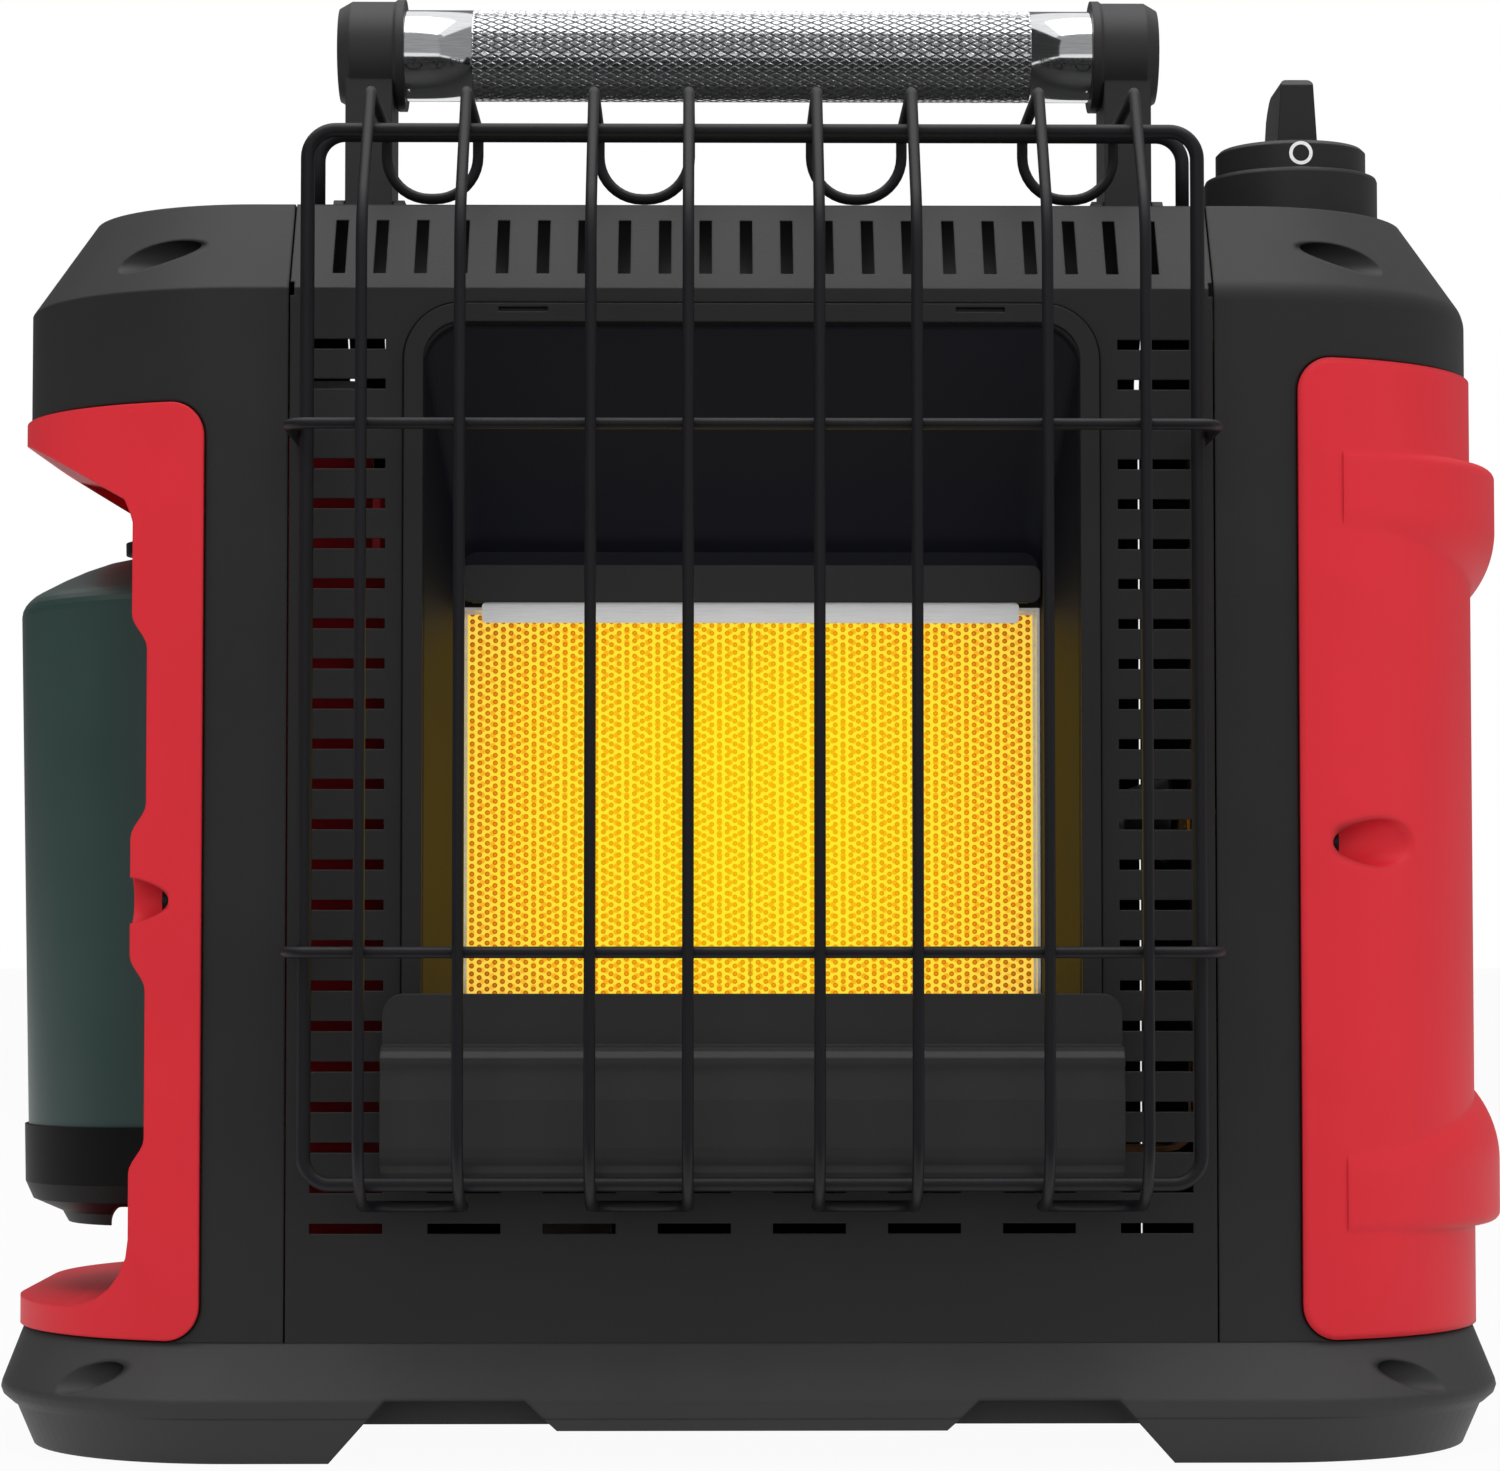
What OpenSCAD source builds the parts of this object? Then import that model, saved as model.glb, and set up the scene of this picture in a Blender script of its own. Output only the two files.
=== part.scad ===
// Portable propane radiant heater with a fold-down carrying handle.
// Millimetres. +Z is up, the glowing face looks along -Y and the gas cylinder
// hangs on the -X side. The origin is the centre of the plane it stands on.

/* [Casing] */
// Width over the two plastic side housings
casing_w = 390; // [382:1:398]
// Depth of the casing, front panel to rear panel
casing_d = 184; // [180:1:190]
// Height of the flat top above the ground
casing_top = 325.5; // [322:0.5:332]
// Radius of the upright corners
corner_r = 65; // [62:1:67]
// How far the sloped shoulder draws in at the top
shoulder_in = 17; // [15:0.5:18]
// Height of the sloped shoulder
shoulder_h = 24.6; // [23:0.1:26]
// Wall of the moulded housings
wall = 2.5; // [2.2:0.1:3]
// Thickness of the steel sheet
sheet = 1; // [0.8:0.1:1.3]
// Width of the steel centre between the housings
panel_w = 238; // [235:1:241]
// Gap between neighbouring covers
seam = 0.45; // [0.2:0.05:0.5]

/* [Covers] */
// Distance from the casing's side to the straight edge of the red covers
cover_w = 54; // [52:0.5:56]
// Top of the right-hand cover
cover_top = 283.5; // [280:0.5:286]
// Top of the red frame round the cylinder bay
frame_top = 271.5; // [270:0.5:273]
// How far the red covers stand proud of the housing
proud = 1.2; // [0.8:0.1:1.6]
// How far the swellings of the side cover stand out from the casing
bulge_out = 10.2; // [9:0.2:11]
// Diameter of the screw hollows in the red covers
cover_scoop_d = 12.5; // [11:0.5:13]
// Diameter of the screw hollows in the black mouldings
scoop_d = 8.5; // [8:0.5:9]

/* [Base] */
// Width of the base at its widest line
base_w = 398; // [394:1:402]
// Depth of the base at its widest line
base_d = 204; // [200:1:208]
// Radius of the base's corners
base_r = 62; // [60:1:65]
// Height of the base
base_h = 30.2; // [29:0.2:32]
// Height of the widest line
base_fold = 15.6; // [15:0.2:17]
// How far the base draws in below its widest line
base_inset = 8; // [7:0.5:9]
// Distance from the centre to the inner end of a foot
foot_x = 108.5; // [105:0.5:112]
// Width of the centre pad of the base
pad_w = 114.6; // [110:0.2:118]

/* [Vents] */
// Height of one side vent slot
vent_h = 2.6; // [2:0.1:3.4]
// Length of one side vent slot
vent_w = 18.6; // [16:0.2:19]
// Pitch of the side vent slots
vent_pitch = 10.32; // [9.8:0.02:10.4]
// Rows of side vent slots
vent_rows = 23; // [18:1:23]
// Width of one hood slot
hood_slot_w = 3.2; // [2.4:0.1:4]
// Pitch of the hood slots
hood_slot_pitch = 10.54; // [9.8:0.02:10.8]
// Number of hood slots
hood_slots = 21; // [15:2:21]

/* [Burner] */
// Width of the opening in the front panel
recess_w = 170; // [167:0.5:172]
// Top of the opening in the front panel
recess_top = 292; // [288:0.5:293]
// Bottom of the opening in the front panel
recess_bottom = 88; // [86:0.5:91]
// Width of the trim round the opening
trim_w = 4.8; // [4.2:0.1:5.2]
// Depth from the front panel to the burner face
recess_depth = 35; // [33:0.5:37]
// Width of the ceramic burner face
tile_w = 150; // [146:0.5:152]
// Bottom of the ceramic burner face
tile_bottom = 112; // [110:0.5:113]
// Top of the ceramic burner face
tile_top = 219; // [217:0.5:221]
// Thickness of the ceramic tiles
tile_t = 12; // [11:0.5:13]
// Width of the lower heat shield
shield_w = 187; // [183:1:190]
// Distance of the lower heat shield in front of the panel
shield_out = 21; // [19:0.5:22]

/* [Guard] */
// Diameter of the guard's heavy ring wire
ring_d = 3.6; // [3.2:0.1:4]
// Diameter of the upright and cross wires
wire_d = 2.9; // [2.6:0.1:3.3]
// Width of the ring, between wire centres
ring_w = 224.6; // [222:0.2:226]
// Distance of the upright wires in front of the panel
guard_out = 45; // [43:0.5:48]
// Height of the ring's top bar above the casing
ring_rise = 11.7; // [10:0.1:13]
// Height of the ring's bottom bar
ring_bottom = 72; // [70:0.5:74]
// Height of the wires' upper run above the casing
run_rise = 22.5; // [21:0.5:24]

/* [Handle] */
// Diameter of the grip tube
tube_d = 25.4; // [24:0.1:26]
// Length of the tube between the end caps
tube_l = 192; // [190:1:197]
// Height of the tube's centre above the casing
tube_rise = 55.4; // [53:0.2:58]
// Diameter of the end caps
cap_d = 30; // [29:0.5:31]
// Length of an end cap
cap_l = 18.5; // [18.5:0.5:21]
// Width of a handle post
post_w = 13; // [12:0.5:14]
// Depth of a handle post
post_d = 24; // [22:0.5:25]
// Diameter of the handle's pivot pins
pin_d = 6; // [5:0.5:6.5]
// Radial play of a pin in its bore
play = 0.05; // [0.03:0.01:0.08]

/* [Knob] */
// Diameter of the knob's disc
knob_d = 40.4; // [38:0.2:41]
// Height of the knob's disc above the bezel
knob_h = 7.7; // [7:0.1:9]
// Height of the grip blade above the disc
blade_h = 17.6; // [15:0.2:19]
// Width of the grip blade
blade_w = 10.7; // [10:0.1:12]
// Diameter of the bezel under the knob
bezel_d = 46.6; // [45.6:0.2:48]
// Height of the bezel
bezel_h = 13.2; // [12.4:0.2:14]
// Travel of the knob when it is pushed
knob_travel = 4; // [3:0.5:4.5]
// Diameter of the valve's stem
stem_d = 8; // [7:0.5:8]

/* [Gas] */
// Diameter of the gas cylinder
tank_d = 98.6; // [97:0.2:99.4]
// Height of the cylinder, underside of its foot to its crown
tank_h = 183; // [180:1:185]
// Height of the underside of the cylinder's foot above the ground
tank_z = 57; // [55:0.5:59]
// Distance of the cylinder's axis from the casing's side
tank_in = 41.2; // [40:0.2:42]
// Lean of the hanging cylinder, foot towards the casing, in degrees
tank_lean = 1.2; // [0.8:0.1:1.4]
// Radius of the bay's round wall behind the cylinder
bay_r = 54; // [53.6:0.2:54.6]
// Wall of the red bay moulding
bay_wall = 2; // [1.8:0.1:2.4]
// Height of the pin that the regulator swings on
swing_z = 276; // [274.5:0.5:278]
// Diameter of the gas pipes
pipe_d = 8; // [7:0.5:9]

/* [Hidden] */
$fn = 64;
eps = 0.01;
far = 500;

half_w = casing_w / 2;
half_d = casing_d / 2;
half_p = panel_w / 2;
corner_x = half_w - corner_r;
corner_y = half_d - corner_r;
fold_z = casing_top - shoulder_h;
front_y = -half_d;
brow_y = front_y + shoulder_in;
slope_angle = atan(shoulder_in / shoulder_h);

// red covers
cover_x = half_w - cover_w;
skin_in = 1.3;
pocket_wall = 1.2;
cover_bottom = base_h + 0.5;
cover_corner = 9;
bulge_r = 80.7;
bulge_flat = 28;
bulge_nose = 2.6;
tank_x = half_w - tank_in;
bay_x = tank_x - 2.5;
bay_floor = base_h + 6;
bay_top = frame_top - 7;
bay_edge = cover_x + 19;
bay_web = cover_x + 12;

// rubber pads under the base
pad_x = foot_x + 45;
pad_y = base_d / 2 - base_inset - 17.5;

// screw hollows: height, depth from the front face, distance of the inner end
shoulder_scoop = [casing_top - 14.5, 13.7, half_w - 53.5];
cover_scoop = [158, 8, cover_x + 8.6];
frame_scoop = [143, 8, cover_x + 8.6];
base_scoop = [base_h - 9.2, 4.5, base_w / 2 - 47.6];
head_d = 6.6;
head_h = 2;

// recess and burner
tile_y = front_y + recess_depth;
trim_t = 1.6;
trim_r = 14.5;
trim_out = recess_w / 2 + trim_w - 0.3;
pan_inset = (recess_w - tile_w) / 2 - 1.6;
plenum_d = 26;
strip_z = tile_top - 2.5;
strip_h = 5.4;
deflector_z = strip_z + strip_h;
venturi_z = (tile_bottom + tile_top) / 2;
venturi_y = tile_y + tile_t + plenum_d / 2;
venturi_x = tile_w / 2 + 4;
pilot_x = 46;
shield_bottom = recess_bottom - 16;
shield_top = tile_bottom + 7.4;

// guard
wire_y = front_y - guard_out;
lean_z = casing_top - 13.5;
run_z = casing_top + run_rise;
tip_y = wire_y + 25;
ring_z = casing_top + ring_rise;
lean_at_ring = (ring_z - lean_z) / (run_z - lean_z) * (tip_y - wire_y);
wire_lean = atan((tip_y - wire_y) / (run_z - lean_z));
ring_y = wire_y + lean_at_ring + (wire_d + ring_d) / 2 / cos(wire_lean);
run_back_y = front_y + 34;
stay_y = brow_y + 5;
stay_z = run_z - (wire_d + ring_d) / 2;
upright_x = [[-96.9, -72.6], [-40.3, -16.2], [16.2, 40.3], [72.6, 96.9]];
cross_z = [130, 260.6];
wire_sides = 8;

// handle: the pivot lies behind the post's centre so that it can fold back
tube_z = casing_top + tube_rise;
bracket_floor = 1.2;
post_toe = 7;
pivot_y = post_d / 2 - post_toe;
pivot_z = casing_top + bracket_floor + post_toe + 0.4;
post_x = (tube_l + cap_l) / 2 + 0.4;
cheek = 3;
cheek_h = 13;
cheek_gap = 0.3;

// knob and valve
knob_x = half_w - 48;
knob_y = -39;
bezel_top = casing_top + bezel_h;
skirt_h = 1;
stem_top = bezel_top + knob_h + 10;
valve_w = 30;
valve_h = 28;
valve_top = casing_top - 25.5;
plunger_z = valve_top + 9;
plunger_d = 14;
plunger_h = 4;
collar_h = 2;

// hanging gas parts
swing_x = half_w - 79;
swing_pin_d = 9;
lug_d = 17;
lug_l = 54;
crown_z = tank_z + tank_h;
tank_wall = 1.2;
shell_rise = 7;
neck_d = 25;
neck_h = 14;
cup_d = tank_d + 2;
cup_h = 27;
nut_d = 41;
reg_d = 36;
reg_z = crown_z + 26.5;
union_y = lug_l / 2 + 10;
supply_y = 44;

black = "#2c2c2c";
steel_black = "#262626";
red = "#d13540";
zinc = "#b9bcbe";
brass = "#b8954a";

// ------------------------------------------------------------- helpers

// A rounded rectangle between two corners.
module round_rect(x0, x1, z0, z1, r) {
    for (x = [x0 + r, x1 - r], z = [z0 + r, z1 - r]) translate([x, z]) circle(r);
    translate([x0 + r, z0]) square([x1 - x0 - 2 * r, z1 - z0]);
    translate([x0, z0 + r]) square([x1 - x0, z1 - z0 - 2 * r]);
}

// Extrudes an outline drawn in X and Z from one depth to another.
module along_y(y0, y1) {
    translate([0, y1, 0]) rotate([90, 0, 0]) linear_extrude(y1 - y0) children();
}

// Extrudes an outline drawn in Y and Z across the middle to a given half width.
module along_x(half) {
    translate([-half, 0, 0]) rotate([90, 0, 90]) linear_extrude(2 * half) children();
}

// Sweeps a section round the +X end of a rounded plan. The section's x runs
// outward from the corner's centre and its y is the height.
module side_sweep(x_in) {
    translate([corner_x, -corner_y, 0]) rotate([0, 0, -90]) rotate_extrude(angle = 90) children();
    translate([corner_x, corner_y, 0]) rotate_extrude(angle = 90) children();
    translate([corner_x, corner_y, 0]) rotate([90, 0, 0]) linear_extrude(2 * corner_y) children();
    translate([corner_x, -corner_y, 0]) rotate([90, 0, -90])
        linear_extrude(corner_x - x_in) children();
    translate([x_in, corner_y, 0]) rotate([90, 0, 90]) linear_extrude(corner_x - x_in) children();
}

function unit(v) = v / norm(v);

// The arc that rounds corner b between a and c to radius r, as n + 1 points.
function corner_arc(a, b, c, r, n) =
    let (u = unit(a - b), w = unit(c - b), half = acos(u * w) / 2,
         centre = b + unit(u + w) * r / sin(half),
         x = unit(b + u * r / tan(half) - centre),
         z = unit(cross(x, b + w * r / tan(half) - centre)),
         y = cross(z, x), sweep = 180 - 2 * half)
    [for (k = [0 : n]) centre + r * (cos(sweep * k / n) * x + sin(sweep * k / n) * y)];

// An open path with its inner corners rounded; radii are one shorter each end.
function round_path(p, r, n) = [
    p[0],
    for (i = [1 : len(p) - 2]) each corner_arc(p[i - 1], p[i], p[i + 1], r[i - 1], n),
    p[len(p) - 1]
];

// A closed path with every corner rounded.
function round_loop(p, r, n) =
    let (m = len(p))
    [for (i = [0 : m - 1]) each corner_arc(p[(i + m - 1) % m], p[i], p[(i + 1) % m], r[i], n)];

// Normals carried along the path without twist.
function carried(t, i, v) =
    i == len(t) ? [] :
    let (flat = unit(v - (v * t[i]) * t[i]))
    concat([flat], carried(t, i + 1, flat));

// A round wire along a list of points, open with flat ends or closed on itself.
module wire(points, d, start, closed = false, sides = wire_sides) {
    m = len(points);
    tangents = [for (i = [0 : m - 1]) unit(
        closed ? points[(i + 1) % m] - points[(i + m - 1) % m]
               : points[min(i + 1, m - 1)] - points[max(i - 1, 0)])];
    normals = carried(tangents, 0, start);
    rings = [for (i = [0 : m - 1], k = [0 : sides - 1])
        let (side = cross(tangents[i], normals[i]), a = 360 * k / sides)
        points[i] + d / 2 * (cos(a) * normals[i] + sin(a) * side)];
    last = closed ? m - 1 : m - 2;
    walls = [for (i = [0 : last], k = [0 : sides - 1], half = [0, 1])
        let (a = i * sides + k, b = i * sides + (k + 1) % sides,
             c = ((i + 1) % m) * sides + (k + 1) % sides, e = ((i + 1) % m) * sides + k)
        half == 0 ? [a, c, b] : [a, e, c]];
    ends = closed ? [] : [[for (k = [0 : sides - 1]) k],
        [for (k = [sides - 1 : -1 : 0]) (m - 1) * sides + k]];
    polyhedron(rings, concat(walls, ends), convexity = 6);
}

// Leans the hanging gas parts about the swing pin.
module hang() {
    translate([-swing_x, 0, swing_z]) rotate([0, -tank_lean, 0])
        translate([swing_x, 0, -swing_z]) children();
}

// ------------------------------------------------------------- casing

// Section of a side housing: flat top, sloped shoulder, a fold rounded to a
// radius and the upright wall.
module housing_section(t, fold_r) {
    brow_gap = t * tan((90 - slope_angle) / 2);
    back_r = max(fold_r, t);
    drop = tan(slope_angle / 2);
    steps = 8;
    polygon([
        [0, casing_top], [corner_r - shoulder_in, casing_top],
        for (k = [steps : -1 : 0]) [corner_r - fold_r, fold_z - fold_r * drop]
            + fold_r * [cos(slope_angle * k / steps), sin(slope_angle * k / steps)],
        [corner_r, base_h], [corner_r - t, base_h],
        for (k = [0 : steps]) [corner_r - back_r, fold_z - back_r * drop]
            + max(back_r - t, eps) * [cos(slope_angle * k / steps), sin(slope_angle * k / steps)],
        [corner_r - shoulder_in - brow_gap, casing_top - t], [0, casing_top - t]
    ]);
}

// The solid that fills the +X end of the casing.
module end_block() {
    side_sweep(half_p) polygon([
        [0, casing_top], [corner_r - shoulder_in, casing_top], [corner_r, fold_z],
        [corner_r, base_h], [0, base_h]
    ]);
    translate([half_p, -corner_y, base_h])
        cube([corner_x - half_p, 2 * corner_y, casing_top - base_h]);
}

// The part of the curved wall between two radii that lies in a cover's outline.
module cover_skin(r0, r1, top, grow) {
    intersection() {
        side_sweep(half_p) translate([r0, base_h]) square([r1 - r0, casing_top - base_h]);
        along_y(-far, far) round_rect(
            cover_x - grow, far, cover_bottom - grow, top + grow, cover_corner + grow);
    }
}

// Blind screw hollows, front and rear, bored along X and open to the outside.
module scoops(place, d) {
    for (s = [-1, 1])
        translate([place[2], s * (half_d - place[1]), place[0]])
            rotate([0, 90, 0]) cylinder(d = d, h = far);
}

// The moulded pockets round the hollows, with a wall of the given thickness.
module scoop_pockets(place, d, t) {
    for (s = [-1, 1])
        translate([place[2] - t, s * (half_d - place[1]), place[0]])
            rotate([0, 90, 0]) cylinder(d = d + 2 * t, h = 45);
}

// The +X housing with its screw hollows, the shallow seat of its cover and
// the holes that the cover's pockets pass through.
module housing(top, place, d, fold_r) {
    difference() {
        union() {
            side_sweep(half_p + seam) housing_section(wall, fold_r);
            translate([half_p + seam, -corner_y, casing_top - wall])
                cube([corner_x - half_p - seam, 2 * corner_y, wall]);
            intersection() {
                end_block();
                scoop_pockets(shoulder_scoop, scoop_d, wall);
            }
        }
        cover_skin(corner_r - skin_in, corner_r + wall, top, seam);
        scoop_pockets(place, d, pocket_wall + seam);
        scoops(shoulder_scoop, scoop_d);
    }
}

module right_housing() {
    color(black) difference() {
        housing(cover_top, cover_scoop, cover_scoop_d, 10);
        translate([knob_x, knob_y, casing_top - wall - 1])
            cylinder(d = plunger_d + 8, h = wall + 2);
    }
}

module left_housing() {
    color(black) mirror([1, 0, 0]) difference() {
        housing(frame_top, frame_scoop, cover_scoop_d, 0.6);
        along_y(-far, far)
            round_rect(cover_x + 6, far, cover_bottom + 4, frame_top - 4, 3);
    }
}

// The cylinder bay as it is seen from the front: slanted lip, two finger
// recesses in the upright edge, and a rounded shelf.
module bay_outline() {
    step = 4.2;
    lip_z = frame_top - 26;
    lip_slope = 0.58;
    shelf_z = cover_bottom + 7.4;
    shelf_r = 18;
    lower_grip = [73, 129];
    upper_grip = [159, 217];
    ramp = 9;
    nose = 2.4;
    s_curve = [for (k = [0 : 6]) [step * (1 - cos(30 * k)) / 2, ramp * k / 6]];
    polygon([
        [bay_edge, lip_z - 2 * nose], [bay_edge + 0.3 * nose, lip_z - nose],
        [bay_edge + nose, lip_z + lip_slope * nose],
        [far, lip_z + lip_slope * (far - bay_edge)], [far, shelf_z],
        for (a = [0 : 15 : 90])
            [bay_edge + shelf_r * (1 - sin(a)), shelf_z + shelf_r * (1 - cos(a))],
        for (grip = [lower_grip, upper_grip]) each concat(
            [for (q = s_curve) [bay_edge - q[0], grip[0] + q[1]]],
            [for (k = [6 : -1 : 0]) [bay_edge - s_curve[k][0], grip[1] - s_curve[k][1]]])
    ]);
}

module bay_liner() {
    swing_room = 80;
    color(red) mirror([1, 0, 0]) difference() {
        union() {
            cover_skin(corner_r - skin_in, corner_r + proud, frame_top, 0);
            // ceiling, shelf, webs and screw pockets up to the outer skin
            intersection() {
                end_block();
                union() {
                    scoop_pockets(frame_scoop, cover_scoop_d, pocket_wall);
                    translate([bay_web, -half_d, bay_top]) cube([far, casing_d, bay_wall]);
                    translate([bay_web, -half_d, bay_floor]) cube([far, casing_d, bay_wall]);
                    translate([bay_web, -half_d, bay_floor])
                        cube([bay_wall, casing_d, bay_top - bay_floor + bay_wall]);
                }
            }
            // round wall behind the cylinder
            intersection() {
                translate([bay_x, 0, bay_floor])
                    cylinder(r = bay_r + bay_wall, h = bay_top - bay_floor + bay_wall);
                translate([0, -far, 0]) cube([bay_web + bay_wall, 2 * far, far]);
            }
        }
        along_y(-far, far) bay_outline();
        translate([bay_x, 0, bay_floor + bay_wall])
            cylinder(r = bay_r, h = bay_top - bay_floor - bay_wall);
        // clearance for the regulator, which swings in the ceiling
        translate([bay_x - bay_r, -lug_l / 2 - 1, swing_z - 44])
            cube([swing_room, lug_l + 2, far]);
        scoops(frame_scoop, cover_scoop_d);
    }
}

// Section of a swelling: a ledge with a rounded nose at one end, running out
// at the other in an arc.
module bulge_section(ledge_z, edge_z, run) {
    fade = bulge_out - proud + 0.5;
    arc_r = (run * run + fade * fade) / (2 * fade);
    low = min(ledge_z, edge_z);
    tall = abs(edge_z - ledge_z);
    up = edge_z > ledge_z;
    round_rect(bulge_r - 40, bulge_r, low, low + tall, bulge_nose);
    translate([bulge_r - 40, up ? low + bulge_nose : low]) square([40, tall - bulge_nose]);
    intersection() {
        translate([bulge_r - arc_r, edge_z]) circle(arc_r, $fn = 128);
        translate([bulge_r - 40, up ? edge_z : edge_z - run]) square([40, run]);
    }
}

// A swelling of the side cover, flat in the middle and round at both ends.
module bulge(ledge_z, edge_z, run) {
    translate([half_w + bulge_out - bulge_r, 0, 0]) {
        for (s = [-1, 1]) translate([0, s * bulge_flat / 2, 0])
            rotate_extrude($fn = 128) bulge_section(ledge_z, edge_z, run);
        translate([0, bulge_flat / 2, 0]) rotate([90, 0, 0]) linear_extrude(bulge_flat)
            bulge_section(ledge_z, edge_z, run);
    }
}

module side_cover() {
    color(red) difference() {
        union() {
            cover_skin(corner_r - skin_in, corner_r + proud, cover_top, 0);
            intersection() {
                end_block();
                scoop_pockets(cover_scoop, cover_scoop_d, pocket_wall);
            }
            difference() {
                intersection() {
                    union() {
                        bulge(cover_top - 23, cover_top - 39, 21);
                        bulge(cover_bottom + 26.3, cover_bottom + 42.3, 22);
                    }
                    translate([cover_x + 12, -far, 0]) cube([far, 2 * far, far]);
                }
                end_block();
            }
        }
        scoops(cover_scoop, cover_scoop_d);
    }
}

// Sheet section of the front: upright face and sloped brow.
module panel_section() {
    fold_gap = sheet * tan(slope_angle / 2);
    polygon([
        [front_y, base_h], [front_y, fold_z], [brow_y, casing_top],
        [brow_y, casing_top - sheet / sin(slope_angle)],
        [front_y + sheet, fold_z - fold_gap], [front_y + sheet, base_h]
    ]);
}

// The side columns of vent slots and the row of slots in the brow.
module vent_cuts() {
    vent_x = (half_p + trim_out) / 2 - 0.6;
    first_z = recess_bottom - 28.7;
    foot_pitch = 29.4;
    hood_shift = -1.4;
    for (s = [-1, 1], i = [0 : vent_rows - 1])
        translate([s * vent_x - vent_w / 2, front_y - 1, first_z + i * vent_pitch - vent_h / 2])
            cube([vent_w, sheet + 2, vent_h]);
    for (x = [-2.5 : 1 : 2.5], i = [0, 1])
        translate([x * foot_pitch - vent_w / 2, front_y - 1, first_z + i * vent_pitch - vent_h / 2])
            cube([vent_w, sheet + 2, vent_h]);
    for (i = [0 : hood_slots - 1])
        translate([(i - (hood_slots - 1) / 2) * hood_slot_pitch - hood_slot_w / 2 + hood_shift,
                   front_y, fold_z + 4.2])
            cube([hood_slot_w, shoulder_in, shoulder_h - 9]);
}

// Small relief notches at the ends of the bend.
module bend_notches() {
    for (s = [-1, 1])
        translate([s * half_p - 1, front_y - 1, fold_z - 2]) cube([2, sheet + 3, 3.6]);
}

module front_panel() {
    color(steel_black) difference() {
        along_x(half_p) panel_section();
        vent_cuts();
        bend_notches();
        along_y(-far, 0)
            round_rect(-recess_w / 2, recess_w / 2, recess_bottom, recess_top, trim_r - 2);
        // shadow groove round the trim
        along_y(-far, front_y + 0.6) difference() {
            round_rect(-trim_out - seam, trim_out + seam, recess_bottom - trim_w - seam,
                       recess_top + trim_w + seam, trim_r + seam);
            round_rect(1 - trim_out, trim_out - 1, recess_bottom - trim_w + 1,
                       recess_top + trim_w - 1, trim_r - 1);
        }
    }
}

module rear_panel() {
    color(steel_black) mirror([0, 1, 0]) difference() {
        along_x(half_p) panel_section();
        vent_cuts();
        bend_notches();
    }
}

module top_plate() {
    color(steel_black) translate([-half_p, brow_y, casing_top - sheet])
        cube([panel_w, -2 * brow_y, sheet]);
}

// Plan of the base at a height, as a thin slab for a loft.
module plan_slab(w, d, r, z) {
    translate([0, 0, z]) linear_extrude(eps)
        round_rect(-w / 2, w / 2, -d / 2, d / 2, r, $fn = 96);
}

// The open space under the front edge, between the feet and round the pad.
module foot_outline() {
    top = base_fold + 1.1;
    rise = 15.5;
    low = 8.9;
    pad = pad_w / 2;
    polygon([
        [-foot_x, -1], [-foot_x + rise, top], [-pad, top], [-pad + low - 1, low],
        [pad - low + 1, low], [pad, top], [foot_x - rise, top], [foot_x, -1]
    ]);
}

module base_tray() {
    low_w = base_w - 2 * base_inset;
    low_d = base_d - 2 * base_inset;
    rim = 14;
    cut = 17;
    nose = 3;
    low = 8.9;
    color(black) difference() {
        union() {
            // skirt with a rounded nose at the sides
            hull() {
                plan_slab(casing_w, casing_d, corner_r, base_h - eps);
                plan_slab(base_w - 0.6, base_d, base_r, base_fold + 1);
                plan_slab(base_w, base_d, base_r, base_fold - 0.4);
                plan_slab(base_w - 1, base_d - 0.6, base_r, base_fold - 2);
                plan_slab(base_w - 2 * nose, base_d - 1.6, base_r - 1, base_fold - 4);
            }
            hull() {
                plan_slab(base_w - 2 * nose - 2, base_d - 1, base_r - 2, base_fold - 3.6);
                plan_slab(low_w, low_d, base_r - base_inset / 2, 0);
            }
        }
        // hollow underside
        translate([0, 0, -1]) linear_extrude(base_h - wall + 1) round_rect(
            rim - low_w / 2, low_w / 2 - rim, rim - low_d / 2, low_d / 2 - rim, base_r - rim);
        along_y(-far, cut - base_d / 2) foot_outline();
        along_y(-far, 0) polygon([
            [-foot_x, -1], [low - foot_x, low], [foot_x - low, low], [foot_x, -1]
        ]);
        for (s = [-1, 1]) {
            mirror([s < 0 ? 1 : 0, 0, 0]) scoops(base_scoop, scoop_d);
            for (t = [-1, 1]) translate([s * pad_x, t * pad_y, -1]) cylinder(d = 16.4, h = 3);
        }
    }
}

module foot_pads() {
    color("#1b1b1b") for (s = [-1, 1], t = [-1, 1])
        translate([s * pad_x, t * pad_y, 0]) cylinder(d = 16, h = 2);
}

// ------------------------------------------------------------- burner

module recess_frame() {
    tab_x = 58.9;
    color(steel_black) difference() {
        along_y(front_y - trim_t, front_y)
            round_rect(-trim_out, trim_out, recess_bottom - trim_w, recess_top + trim_w, trim_r);
        along_y(-far, 0) round_rect(
            -recess_w / 2 + 0.4, recess_w / 2 - 0.4, recess_bottom, recess_top, trim_r - trim_w);
        for (s = [-1, 1])
            translate([s * tab_x - 6.3, -far, recess_top + 2.6]) cube([12.6, far, 1.2]);
    }
}

// The funnel from the panel's opening back to the burner, as a solid.
module funnel(grow) {
    half = recess_w / 2 - 0.5 + grow;
    hull() {
        along_y(front_y + sheet, front_y + sheet + 1) round_rect(
            -half, half, recess_bottom + 0.5 - grow, recess_top - 0.5 + grow, trim_r - 3, $fn = 32);
        along_y(tile_y - 1, tile_y) round_rect(
            pan_inset - half, half - pan_inset, tile_bottom - 6 - grow, deflector_z + 12 + grow, 4,
            $fn = 32);
    }
}

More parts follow.
